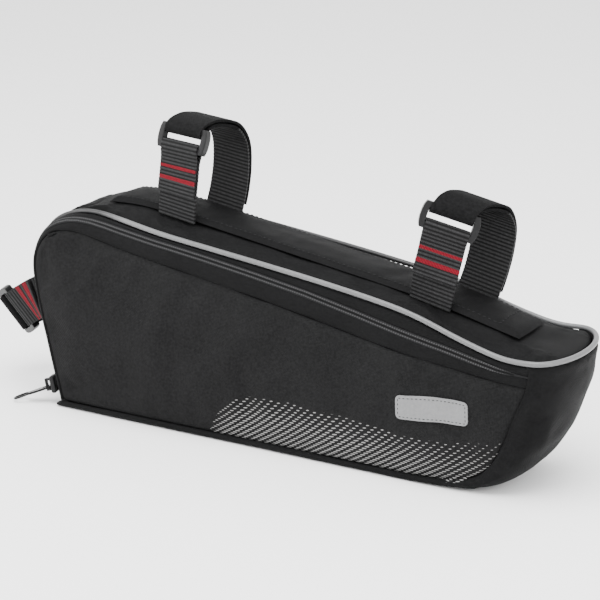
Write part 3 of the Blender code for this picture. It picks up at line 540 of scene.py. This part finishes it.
# The printed field's upper edge, as x and z in metres.
PRINT_EDGE = (
    (-0.150, -0.060), (-0.029, -0.002), (-0.021, 0.013), (-0.013, 0.0215), (-0.0045, 0.025), (0.008, 0.0265),
    (0.025, 0.0265), (0.050, 0.0245), (0.075, 0.0225), (0.096, 0.0228), (0.109, 0.0245), (0.123, 0.027),
    (0.140, 0.029),
)
edge_x, edge_z = zip(*PRINT_EDGE)
depths = np.interp(spots[:, 0], edge_x, edge_z) - spots[:, 2]
near_panel.data.attributes["print_depth"].data.foreach_set("value", depths)
finish_cloth(near_panel, SIDE_WALL, near_cloth, "near_side_panel")

far_panel = outer_cloth("far_side_cloth", "far_side_panel", (0, 1, 0))
apply_modifier(far_panel, "SUBSURF", levels=2, render_levels=2, boundary_smooth="PRESERVE_CORNERS")
swell(far_panel, rim_of(far_panel.data), 0.012, 0.35, 0.0035)
apply_modifier(far_panel, "SUBSURF", levels=1, render_levels=1, boundary_smooth="PRESERVE_CORNERS")
ripple(far_panel, 0.0011, 0.030, 2)
relax(far_panel, (0.100, 0.027, 0.005), 0.020)
tuck_rim(far_panel, 0.0008, 0.0035)
turn_hem(far_panel, 0.0007, 0.0010, 0.0020)
finish_cloth(far_panel, SIDE_WALL, side_cloth, "far_side_panel")

# The gusset, the top and the two zip strips: black cloth of a finer yarn, with foam behind the top. The
# gusset runs down the nose and along the base, and stays flat where the bag stands.
black_cloth, *_ = cloth_material(
    "black_cloth", (0.0045, 0.0045, 0.0047), 0.62, 2200.0, 0.00008, 0.30, 0.24, 0.003, 0.05
)
BLACK_WALL = 0.0017
STRIP_WALL = 0.0011
FLAT_BASE_BELOW = 0.0015
gusset = outer_cloth("nose_and_base_cloth", "nose_and_base_panel", (1, 0, -0.3))
apply_modifier(gusset, "SUBSURF", levels=2, render_levels=2, boundary_smooth="PRESERVE_CORNERS")
spots = places(gusset.data)
held = rim_of(gusset.data) | {k for k, spot in enumerate(spots) if spot[2] < FLAT_BASE_BELOW}
swell(gusset, held, 0.012, 0.25, 0.0025)
spots = places(gusset.data)
spots[:, 2] = np.maximum(spots[:, 2], 0.0)
gusset.data.vertices.foreach_set("co", spots.ravel())
ripple(gusset, 0.0009, 0.022, 3, (
    ((0.139, -0.024, 0.046), (0.144, 0.010, 0.030), 0.004, 0.0006),
    ((0.128, -0.022, 0.018), (0.140, 0.012, 0.020), 0.004, -0.0006),
))
spots = places(gusset.data)
spots[:, 2] = np.maximum(spots[:, 2], 0.0)
gusset.data.vertices.foreach_set("co", spots.ravel())
turn_hem(gusset, 0.0006, 0.0010, 0.0022)
finish_cloth(gusset, BLACK_WALL, black_cloth, "nose_and_base_panel")

top = outer_cloth("top_cloth", "top_panel", (0, 0, 1))
apply_modifier(top, "SUBSURF", levels=2, render_levels=2, boundary_smooth="PRESERVE_CORNERS")
spots = places(top.data)
# The cloth under the pad is held down by the pad's seams.
held = rim_of(top.data)
for k, spot in enumerate(spots):
    if abs(spot[1]) < 0.0145 and spot[0] > -0.096 and spot[2] > 0.05:
        held.add(k)
swell(top, held, 0.014, 0.15, 0.0016)
ripple(top, 0.0010, 0.024, 4, (
    ((-0.060, -0.022, 0.098), (-0.020, -0.023, 0.094), 0.0035, 0.0010),
    ((0.060, -0.022, 0.078), (0.100, -0.022, 0.068), 0.0035, 0.0009),
    ((0.112, -0.020, 0.064), (0.132, 0.004, 0.062), 0.0040, -0.0008),
    ((-0.095, -0.014, 0.098), (-0.118, 0.010, 0.090), 0.0040, -0.0007),
))
turn_hem(top, 0.0009, 0.0010, 0.0017)
finish_cloth(top, BLACK_WALL, black_cloth, "top_panel")

for name, node in (("lower_zip_strip", "lower_zip_band"), ("upper_zip_strip", "upper_zip_band")):
    strip = outer_cloth(name, node, (0, -1, 0))
    apply_modifier(strip, "SUBSURF", levels=2, render_levels=2, boundary_smooth="PRESERVE_CORNERS")
    ripple(strip, 0.0006, 0.016, 5)
    turn_hem(strip, 0.0006, 0.0008, 0.0016)
    finish_cloth(strip, STRIP_WALL, black_cloth, node)

# The pad on the top: a strip of foam in black cloth where the bag meets the frame tube, thickest along its
# middle, with its sewn edge turned under.
pad = outer_cloth("top_pad_cloth", "top_pad", (0, 0, 1))
apply_modifier(pad, "SUBSURF", levels=3, render_levels=3, boundary_smooth="PRESERVE_CORNERS")
spots = places(pad.data)
rim = spots[sorted(rim_of(pad.data))]
away = np.array([np.sqrt(((rim - spot) ** 2).sum(1).min()) for spot in spots])
edge_drop = 0.0019 * np.clip(1 - away / 0.0030, 0, 1) ** 1.6
middle_rise = 0.0006 * np.clip((away - 0.003) / 0.009, 0, 1) ** 0.6
spots[:, 2] -= edge_drop - middle_rise
pad.data.vertices.foreach_set("co", spots.ravel())
pad.data.update()
ripple(pad, 0.0007, 0.018, 6, (
    ((0.100, -0.013, 0.072), (0.104, 0.013, 0.072), 0.0022, -0.0009),
    ((0.088, -0.010, 0.075), (0.094, 0.012, 0.075), 0.0020, 0.0006),
    ((0.055, -0.012, 0.084), (0.066, 0.010, 0.082), 0.0030, -0.0006),
))
pad_cloth, *_ = cloth_material(
    "pad_cloth", (0.0038, 0.0038, 0.0040), 0.60, 2200.0, 0.00007, 0.25, 0.22, 0.003, 0.05
)
finish_cloth(pad, 0.0005, pad_cloth, "top_pad")

# The piping: a cord in a folded strip of silvery reflective tape, sewn in along the top's edge and round
# the nose.
tape = bpy.data.materials.new("silver_piping")
tape.use_nodes = True
tree = tape.node_tree
shader = tree.nodes["Principled BSDF"]
shader.inputs["Roughness"].default_value = 0.42
shader.inputs["Metallic"].default_value = 0.15
uv = tree.nodes.new("ShaderNodeTexCoord")
beads = tree.nodes.new("ShaderNodeTexVoronoi")
beads.inputs["Scale"].default_value = 2600.0
tree.links.new(uv.outputs["Object"], beads.inputs["Vector"])
flecks = tree.nodes.new("ShaderNodeGroup")
flecks.node_tree = specks
flecks.inputs["Colour"].default_value = (0.098, 0.099, 0.101, 1)
flecks.inputs["Speck"].default_value = 0.10
flecks.inputs["Dust"].default_value = 0.14
spot = tree.nodes.new("ShaderNodeSeparateXYZ")
tree.links.new(uv.outputs["Object"], spot.inputs[0])
# Towards the upper left corner, and along the far edge as far as the nose, the piping is coloured black instead
# of silver.
silver_share = maths(tree, "MULTIPLY", maths(tree, "ADD", spot.outputs["X"], 0.088), 60.0, True)
on_far_edge = maths(tree, "MULTIPLY", spot.outputs["Y"], 200.0, True)
before_nose = maths(tree, "MULTIPLY", maths(tree, "SUBTRACT", 0.078, spot.outputs["X"]), 60.0, True)
black_far_edge = maths(tree, "MULTIPLY", on_far_edge, before_nose)
silver_share = maths(tree, "MULTIPLY", silver_share, maths(tree, "SUBTRACT", 1.0, black_far_edge))
silver = mixed(tree, silver_share, (0.010, 0.010, 0.0105), flecks.outputs["Colour"])
tree.links.new(silver, shader.inputs["Base Color"])
bump = tree.nodes.new("ShaderNodeBump")
bump.inputs["Distance"].default_value = 0.00004
tree.links.new(beads.outputs["Distance"], bump.inputs["Height"])
tree.links.new(bump.outputs[0], shader.inputs["Normal"])


def smooth_copy(name, node, body, material, bevel=0.0, levels=1):
    """A merged copy of a hard or sewn piece, with soft edges, that stands for its node."""
    select_only(frame["nodes"][node])
    bpy.ops.object.duplicate()
    made = bpy.context.object
    made.name = name
    made.parent = None
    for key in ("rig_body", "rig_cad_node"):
        if key in made:
            del made[key]
    bpy.ops.object.mode_set(mode="EDIT")
    bpy.ops.mesh.select_all(action="SELECT")
    bpy.ops.mesh.remove_doubles(threshold=TOUCHING)
    bpy.ops.mesh.tris_convert_to_quads(face_threshold=radians(20), shape_threshold=radians(60))
    bpy.ops.object.mode_set(mode="OBJECT")
    if bevel:
        apply_modifier(
            made, "BEVEL", width=bevel, segments=2, limit_method="ANGLE", angle_limit=radians(35)
        )
    if levels:
        apply_modifier(made, "SUBSURF", levels=levels, render_levels=levels)
    metric_uv(made)
    made.data.materials.clear()
    made.data.materials.append(material)
    select_only(made)
    bpy.ops.object.shade_smooth_by_angle(angle=radians(50))
    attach(made, body)
    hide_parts(node)
    return made


piping = smooth_copy("silver_piping", "piping", "bag", tape, levels=2)

# The patch: a small plate of the same silvery tape, with round corners, sewn on the near cloth near the
# nose. It is laid on the settled cloth point by point.
def laid_on(piece, x, z, lift):
    """The point of the near panel's outer face at this x and z, lift in front of it."""
    hit, spot, normal, _ = piece.ray_cast(Vector((x, -0.1, z)), Vector((0, 1, 0)))
    return spot + normal * lift if hit else Vector((x, -0.027 - lift, z))


plain_patch = frame["nodes"]["side_patch"]
spots = np.array([plain_patch.matrix_world @ vert.co for vert in plain_patch.data.vertices])
middle_x, _, middle_z = (spots.min(0) + spots.max(0)) / 2
PATCH_SIZE, PATCH_ROUND, PATCH_TILT = (0.034, 0.0105), 0.0022, 0.055
PATCH_LIFT, PATCH_WALL = 0.0001, 0.0007
bpy.ops.object.select_all(action="DESELECT")
bpy.ops.mesh.primitive_grid_add(x_subdivisions=34, y_subdivisions=12, size=1.0)
patch = bpy.context.object
patch.name = "silver_patch"
flat = places(patch.data)
laid = []
for u, v in flat[:, :2]:
    x, z = u * PATCH_SIZE[0], v * PATCH_SIZE[1]
    over_x = abs(x) - (PATCH_SIZE[0] / 2 - PATCH_ROUND)
    over_z = abs(z) - (PATCH_SIZE[1] / 2 - PATCH_ROUND)
    if over_x > 0 and over_z > 0:
        pull_in = max(over_x, over_z) / np.hypot(over_x, over_z)
        x -= np.sign(x) * over_x * (1 - pull_in)
        z -= np.sign(z) * over_z * (1 - pull_in)
    place = (middle_x + x - z * PATCH_TILT, middle_z + z + x * PATCH_TILT)
    laid.append(laid_on(near_panel, *place, PATCH_LIFT))
patch.data.vertices.foreach_set("co", np.array(laid).ravel())
patch.data.update()
select_only(patch)
apply_modifier(patch, "SOLIDIFY", thickness=PATCH_WALL, offset=1.0, use_even_offset=False)
apply_modifier(patch, "BEVEL", width=0.00015, segments=2, limit_method="ANGLE", angle_limit=radians(50))
metric_uv(patch)
patch_tape = tape.copy()
patch_tape.name = "silver_patch_tape"
for node in patch_tape.node_tree.nodes:
    if node.type == "GROUP":
        node.inputs["Colour"].default_value = (0.140, 0.141, 0.143, 1)
patch.data.materials.append(patch_tape)
select_only(patch)
bpy.ops.object.shade_smooth_by_angle(angle=radians(40))
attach(patch, "bag")
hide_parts("side_patch")

# The loops: ribbed webbing with two woven red lines on the near tab, and a smooth hook-and-loop strap. Each
# ribbon is woven flat, so its ribs are made on a flat grid that then takes the ribbon's own run.
def ribbon_rows(node):
    """The corners of the ribbon's rings, from one end to the other, as an array of rings x 4 corners x 3.

    Corners 0 and 1 bound one face across the ribbon's width, and 3 and 2 the other face behind them.
    """
    work = bmesh.new()
    work.from_mesh(frame["nodes"][node].data)
    bmesh.ops.remove_doubles(work, verts=work.verts, dist=TOUCHING)
    ends = []
    for edge in work.edges:
        if len(edge.link_faces) != 2 or edge.calc_face_angle(9) > radians(2):
            continue
        others = [e for face in edge.link_faces for e in face.edges if e is not edge]
        if all(e.calc_face_angle(0) > radians(50) for e in others):
            ends.append(edge)
    ring = {vert for face in ends[0].link_faces for vert in face.verts}
    order = [next(iter(ring))]
    while len(order) < 4:
        order.append(
            min(
                (vert for vert in ring if vert not in order),
                key=lambda vert: (ends[0] in vert.link_edges) == (ends[0] in order[-1].link_edges),
            )
        )
    rows, seen = [order], set(order)
    while True:
        after = {e.other_vert(v) for v in rows[-1] for e in v.link_edges} - seen
        if len(after) != 4:
            break
        before = rows[-1]
        fit = min(permutations(after), key=lambda way: sum((a.co - b.co).length for a, b in zip(way, before)))
        rows.append(list(fit))
        seen |= after
    corners = np.array([[tuple(vert.co) for vert in row] for row in rows])
    work.free()
    if np.linalg.norm(corners[0, 0] - corners[0, 1]) < np.linalg.norm(corners[0, 1] - corners[0, 2]):
        corners = corners[:, [1, 2, 3, 0]]
    return corners


def ribbon(name, node, slot, pitch, rib, step, columns=10):
    """A woven ribbon along the node's own run, with ribs of this pitch and height across it."""
    corners = ribbon_rows(node)
    left = (corners[:, 0] + corners[:, 3]) / 2
    right = (corners[:, 1] + corners[:, 2]) / 2
    wall = float(np.linalg.norm(corners[0, 0] - corners[0, 3])) - 2 * rib
    middle = (left + right) / 2
    if middle[0, 2] > middle[-1, 2] and "end" not in node:
        left, right = left[::-1], right[::-1]
    if "end" in node and middle[0, 0] < middle[-1, 0]:
        left, right = left[::-1], right[::-1]
    middle = (left + right) / 2
    run = np.concatenate([[0], np.cumsum(np.linalg.norm(np.diff(middle, axis=0), axis=1))])
    count = int(run[-1] / step)
    bpy.ops.object.select_all(action="DESELECT")
    bpy.ops.mesh.primitive_grid_add(x_subdivisions=columns, y_subdivisions=count, size=1.0)
    made = bpy.context.object
    made.name = name
    flat = places(made.data)
    along = (flat[:, 1] + 0.5) * run[-1]
    share = flat[:, 0] + 0.5
    ends = []
    for side in (left, right):
        padded = np.vstack([2 * side[0] - side[1], side, 2 * side[-1] - side[-2]])
        k = np.clip(np.searchsorted(run, along, side="right") - 1, 0, len(run) - 2)
        t = ((along - run[k]) / (run[k + 1] - run[k]))[:, None]
        p0, p1, p2, p3 = (padded[k + m] for m in range(4))
        curve = 2 * p1 + (p2 - p0) * t + (2 * p0 - 5 * p1 + 4 * p2 - p3) * t**2
        curve += (3 * p1 - p0 - 3 * p2 + p3) * t**3
        ends.append(0.5 * curve)
    spots = ends[0] * (1 - share)[:, None] + ends[1] * share[:, None]
    made.data.vertices.foreach_set("co", spots.ravel())
    made.data.attributes.new("along", "FLOAT", "POINT")
    made.data.attributes["along"].data.foreach_set("value", along)
    loops = np.zeros(len(made.data.loops), int)
    made.data.loops.foreach_get("vertex_index", loops)
    uv = np.column_stack([share * np.linalg.norm(right[0] - left[0]), along])[loops]
    made.data.uv_layers[0].data.foreach_set("uv", uv.ravel())
    made.data.update()
    apply_modifier(made, "SOLIDIFY", thickness=wall, offset=0.0, use_even_offset=False)
    spots = places(made.data)
    normals = np.zeros_like(spots).ravel()
    made.data.vertices.foreach_get("normal", normals)
    run_at = np.zeros(len(spots), np.float32)
    made.data.attributes["along"].data.foreach_get("value", run_at)
    wave = np.abs(np.sin(run_at * pi / pitch)) ** 0.7 if pitch else np.zeros(len(spots))
    spots += normals.reshape(-1, 3) * (wave * rib)[:, None]
    made.data.vertices.foreach_set("co", spots.ravel())
    made.data.update()
    select_only(made)
    bpy.ops.object.mode_set(mode="EDIT")
    bpy.ops.mesh.select_all(action="SELECT")
    bpy.ops.mesh.normals_make_consistent(inside=False)
    bpy.ops.object.mode_set(mode="OBJECT")
    bpy.ops.object.shade_smooth_by_angle(angle=radians(60))
    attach(made, "bag")
    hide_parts(node)
    return made, run[-1]


RIB_PITCH = 0.0017
RIB_HEIGHT = 0.00018
RIB_STEP = 0.00024
THREAD_PITCH = 0.00065


def webbing_material(name, lines):
    """Black webbing with painted highlights on its ribs' crests and painted shade in their hollows, and a red
    line woven in at each of lines, in metres along it.
    """
    made = bpy.data.materials.new(name)
    made.use_nodes = True
    tree = made.node_tree
    shader = tree.nodes["Principled BSDF"]
    shader.inputs["Roughness"].default_value = 0.6
    shader.inputs["Specular IOR Level"].default_value = 0.10
    uv = tree.nodes.new("ShaderNodeUVMap")
    axes = tree.nodes.new("ShaderNodeSeparateXYZ")
    tree.links.new(uv.outputs[0], axes.inputs[0])
    crest, threads = (
        maths(tree, "ABSOLUTE", maths(tree, "SINE", maths(tree, "MULTIPLY", axes.outputs[axis], pi / pitch)))
        for axis, pitch in (("Y", RIB_PITCH), ("X", THREAD_PITCH))
    )
    flecks = tree.nodes.new("ShaderNodeGroup")
    flecks.node_tree = specks
    flecks.inputs["Colour"].default_value = (0.0190, 0.0190, 0.0195, 1)
    flecks.inputs["Speck"].default_value = 0.30
    # Painted highlight and shade: near-black in the ribs' hollows, the webbing's own colour on their crests.
    lit = maths(tree, "MULTIPLY", crest, crest)
    shade = mixed(tree, lit, (0.0012, 0.0012, 0.0012), flecks.outputs["Colour"])
    for place, width in lines:
        from_line = maths(tree, "ABSOLUTE", maths(tree, "SUBTRACT", axes.outputs["Y"], place))
        wander = maths(tree, "MULTIPLY", maths(tree, "SUBTRACT", flecks.outputs["Patch"], 0.5), 0.0010)
        from_line = maths(tree, "ADD", from_line, wander)
        from_line = maths(tree, "ADD", from_line, maths(tree, "MULTIPLY", threads, -0.0003))
        share = maths(tree, "MULTIPLY", maths(tree, "SUBTRACT", width / 2, from_line), 6000.0, True)
        # The red threads are painted lighter on their crests and darker between them, as painted light and
        # shade.
        red = mixed(tree, threads, (0.035, 0.0006, 0.0025), (0.150, 0.003, 0.010))
        shade = mixed(tree, share, shade, red)
    tree.links.new(shade, shader.inputs["Base Color"])
    bump = tree.nodes.new("ShaderNodeBump")
    bump.inputs["Distance"].default_value = 0.00012
    tree.links.new(threads, bump.inputs["Height"])
    tree.links.new(bump.outputs[0], shader.inputs["Normal"])
    return made


strap_cloth, *_ = cloth_material(
    "hook_and_loop", (0.0055, 0.0055, 0.0057), 0.9, 1900.0, 0.00010, 0.50, 0.10, 0.008, 0.06
)
plain_webbing = webbing_material("webbing", ())
for loop, lines in (
    ("left", ((-0.0118, 0.0014), (-0.0064, 0.0018))),
    ("right", ((-0.0120, 0.0013), (-0.0062, 0.0019))),
    ("end", ((-0.0060, 0.0015), (-0.0020, 0.0015))),
):
    ribs = (RIB_PITCH, RIB_HEIGHT, RIB_STEP)
    near_tab, total = ribbon(loop + "_near_tab", loop + "_near_webbing", "webbing", *ribs)
    lines = [(place if place > 0 else total + place, width) for place, width in lines]
    near_tab.data.materials.append(webbing_material(loop + "_marked_webbing", lines))
    far_tab, _ = ribbon(loop + "_far_tab", loop + "_far_webbing", "webbing", *ribs)
    far_tab.data.materials.append(plain_webbing)
    strap, _ = ribbon(loop + "_hook_and_loop", loop + "_strap", "strap", 0.0, 0.0, 0.0008)
    strap.data.materials.append(strap_cloth)

# The ladder buckles: moulded black nylon with satin faces and rounded arms.
nylon = bpy.data.materials.new("moulded_nylon")
nylon.use_nodes = True
tree = nylon.node_tree
shader = tree.nodes["Principled BSDF"]
shader.inputs["Specular IOR Level"].default_value = 0.16
shader.inputs["Coat Weight"].default_value = 0.02
shader.inputs["Coat Roughness"].default_value = 0.25
flecks = tree.nodes.new("ShaderNodeGroup")
flecks.node_tree = specks
flecks.inputs["Colour"].default_value = (0.007, 0.007, 0.0073, 1)
flecks.inputs["Speck"].default_value = 0.10
flecks.inputs["Dust"].default_value = 0.20
tree.links.new(flecks.outputs["Colour"], shader.inputs["Base Color"])
grain = maths(tree, "MULTIPLY", flecks.outputs["Patch"], 0.25)
tree.links.new(maths(tree, "ADD", grain, 0.24), shader.inputs["Roughness"])
# Across the buckle from its middle: where the arms begin, and where their inner faces end.
ARM_FROM, ARM_INNER = 0.0098, 0.0108
for loop in ("left", "right", "end"):
    buckle = smooth_copy(loop + "_ladder_buckle", loop + "_buckle", "bag", nylon, levels=0)
    spots = places(buckle.data)
    middle = spots.mean(0)
    _, _, ways = np.linalg.svd(spots - middle)
    width_way, length_way, face_way = ways
    wide, long, deep = ((spots - middle) @ way for way in (width_way, length_way, face_way))
    in_arm = np.abs(wide) > ARM_FROM
    spots += np.outer(np.where(in_arm, deep * 0.75, 0.0), face_way)
    spots += np.outer(np.where(in_arm, long * 0.16, 0.0), length_way)
    inner_face = in_arm & (np.abs(wide) < ARM_INNER)
    spots -= np.outer(np.where(inner_face, np.sign(wide) * 0.0002, 0.0), width_way)
    buckle.data.vertices.foreach_set("co", spots.ravel())
    apply_modifier(buckle, "BEVEL", width=0.0007, segments=2, limit_method="ANGLE", angle_limit=radians(35))
    apply_modifier(buckle, "SUBSURF", levels=2, render_levels=2)
    select_only(buckle)
    bpy.ops.object.shade_smooth()

# The zip: a tape with the coil sewn to its back, so its front shows a slit between two rows of small ribs; the
# slit is painted near-black as painted shade and the ribs' crests are painted lighter as painted highlights.
# The tape's own run is measured along its middle line.
zip_tape = outer_cloth("zip_tape_cloth", "zip_tape", (0, -1, 0))
middle = np.array([spot for k, spot in enumerate(places(zip_tape.data)) if k not in rim_of(zip_tape.data)])
order = [int(np.argmax(middle[:, 0]))]
while len(order) < len(middle):
    gap = np.linalg.norm(middle - middle[order[-1]], axis=1)
    gap[order] = np.inf
    order.append(int(np.argmin(gap)))
middle = middle[order]
apply_modifier(zip_tape, "SUBSURF", levels=3, render_levels=3, boundary_smooth="PRESERVE_CORNERS")
run = np.concatenate([[0], np.cumsum(np.linalg.norm(np.diff(middle, axis=0), axis=1))])
fine_run = np.linspace(0, run[-1], 4000)
fine_middle = np.column_stack([np.interp(fine_run, run, middle[:, k]) for k in range(3)])
nearest = [int(np.argmin(((fine_middle - spot) ** 2).sum(1))) for spot in places(zip_tape.data)]
from_middle = np.linalg.norm(places(zip_tape.data) - fine_middle[nearest], axis=1)
for label, values in (("along", fine_run[nearest]), ("across", from_middle)):
    zip_tape.data.attributes.new(label, "FLOAT", "POINT")
    zip_tape.data.attributes[label].data.foreach_set("value", values.astype(np.float32))
ZIP_RIB_PITCH = 0.00115
ZIP_ROW_AT, ZIP_ROW_HALF = 0.00095, 0.00045
ZIP_SLIT_HALF = 0.00035
SHARP_EDGE = 6000.0
zip_cloth, tree, shader, woven = cloth_material(
    "zip_tape", (0.0075, 0.0075, 0.0078), 0.7, 2600.0, 0.00005, 0.2, 0.1, 0.0
)
along, across = (tree.nodes.new("ShaderNodeAttribute") for _ in range(2))
along.attribute_name, across.attribute_name = "along", "across"
rib_phase = maths(tree, "MULTIPLY", along.outputs["Fac"], pi / ZIP_RIB_PITCH)
ribs = maths(tree, "ABSOLUTE", maths(tree, "SINE", rib_phase))
from_row = maths(tree, "ABSOLUTE", maths(tree, "SUBTRACT", across.outputs["Fac"], ZIP_ROW_AT))
in_row = maths(tree, "MULTIPLY", maths(tree, "SUBTRACT", ZIP_ROW_HALF, from_row), SHARP_EDGE, True)
in_slit = maths(tree, "SUBTRACT", ZIP_SLIT_HALF, across.outputs["Fac"])
slit = maths(tree, "MULTIPLY", in_slit, SHARP_EDGE, True)
ribbed = maths(tree, "MULTIPLY", ribs, in_row)
# Painted highlight: the crests of the ribs in the two rows are coloured much lighter than the tape.
shade = mixed(tree, ribbed, woven, (0.045, 0.045, 0.046))
# Painted shade: the slit is coloured near-black.
tree.links.new(mixed(tree, slit, shade, (0.0008, 0.0008, 0.0008)), shader.inputs["Base Color"])
bump = tree.nodes.new("ShaderNodeBump")
bump.inputs["Distance"].default_value = 0.0004
tree.links.new(maths(tree, "SUBTRACT", ribbed, slit), bump.inputs["Height"])
tree.links.new(bump.outputs[0], shader.inputs["Normal"])
finish_cloth(zip_tape, 0.0009, zip_cloth, "zip_tape")

# The stitches: thick black thread, proud of the cloth, round the pad and round the patch.
thread = bpy.data.materials.new("sewing_thread")
thread.use_nodes = True
shader = thread.node_tree.nodes["Principled BSDF"]
shader.inputs["Base Color"].default_value = (0.010, 0.010, 0.0105, 1)
shader.inputs["Roughness"].default_value = 0.55
shader.inputs["Specular IOR Level"].default_value = 0.10
bpy.ops.object.select_all(action="DESELECT")
bpy.ops.mesh.primitive_uv_sphere_add(segments=6, ring_count=5, radius=1.0)
one_stitch = bpy.context.object
one_stitch.name = "one_stitch"
one_stitch.data.materials.append(thread)
bpy.ops.object.shade_smooth()


def stitch_row(name, path, pitch=0.0026, length=0.0017, radius=0.00021, closed=True):
    """Copies of the one stitch along a path on a surface, joined into one piece."""
    path = np.array([tuple(point) for point in path])
    if closed:
        path = np.vstack([path, path[:1]])
    run = np.concatenate([[0], np.cumsum(np.linalg.norm(np.diff(path, axis=0), axis=1))])
    copies = []
    for place in np.arange(pitch / 2, run[-1], pitch):
        halves = (place - length / 2, place + length / 2)
        ends = [Vector([np.interp(half, run, path[:, k]) for k in range(3)]) for half in halves]
        copy = one_stitch.copy()
        copy.data = one_stitch.data.copy()
        bpy.context.scene.collection.objects.link(copy)
        turn = (ends[1] - ends[0]).to_track_quat("X", "Z").to_matrix().to_4x4()
        stretch = Matrix.Diagonal((length / 2, radius, radius, 1))
        copy.data.transform(Matrix.Translation((ends[0] + ends[1]) / 2) @ turn @ stretch)
        copies.append(copy)
    bpy.ops.object.select_all(action="DESELECT")
    for copy in copies:
        copy.select_set(True)
    bpy.context.view_layer.objects.active = copies[0]
    bpy.ops.object.join()
    row = bpy.context.object
    row.name = name
    row.matrix_world = Matrix()
    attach(row, "bag")
    return row


def box_path(x0, x1, y0, y1, count=40):
    """Points round a rectangle."""
    share = np.linspace(0, 1, count, endpoint=False)[:, None]
    corners = np.array([(x0, y0), (x1, y0), (x1, y1), (x0, y1), (x0, y0)])
    return np.vstack([a + (b - a) * share for a, b in zip(corners[:-1], corners[1:])])


path = []
for x, y in box_path(-0.0885, 0.1135, -0.0105, 0.0105, 60):
    hit, spot, normal, _ = pad.ray_cast(Vector((x, y, 0.2)), Vector((0, 0, -1)))
    if hit:
        path.append(spot + normal * 0.00008)
stitch_row("pad_stitches", path)
path = []
for u, v in box_path(-0.0158, 0.0158, -0.0041, 0.0041, 30):
    x, z = middle_x + u - v * PATCH_TILT, middle_z + v + u * PATCH_TILT
    hit, spot, normal, _ = patch.ray_cast(Vector((x, -0.1, z)), Vector((0, 1, 0)))
    if hit:
        path.append(spot + normal * 0.00005)
stitch_row("patch_stitches", path, pitch=0.0019, length=0.0012, radius=0.00015)
bpy.data.objects.remove(one_stitch)

# The slider and its pull: die-cast and lacquered black. The slider takes the buckles' moulded nylon; the pull's
# black lacquer has a satin shine whose roughness varies at random.
slider = smooth_copy("zip_slider_body", "zip_slider", "bag", nylon, bevel=0.0003, levels=1)
lacquer = bpy.data.materials.new("black_lacquer")
lacquer.use_nodes = True
tree = lacquer.node_tree
shader = tree.nodes["Principled BSDF"]
shader.inputs["Base Color"].default_value = (0.004, 0.004, 0.004, 1)
shader.inputs["Specular IOR Level"].default_value = 0.08
worn = tree.nodes.new("ShaderNodeTexNoise")
worn.inputs["Scale"].default_value = 400.0
satin = maths(tree, "ADD", maths(tree, "MULTIPLY", worn.outputs["Fac"], 0.25), 0.12)
tree.links.new(satin, shader.inputs["Roughness"])
pull = smooth_copy("zip_pull_tab", "zip_pull", "pull", lacquer, bevel=0.0002, levels=1)
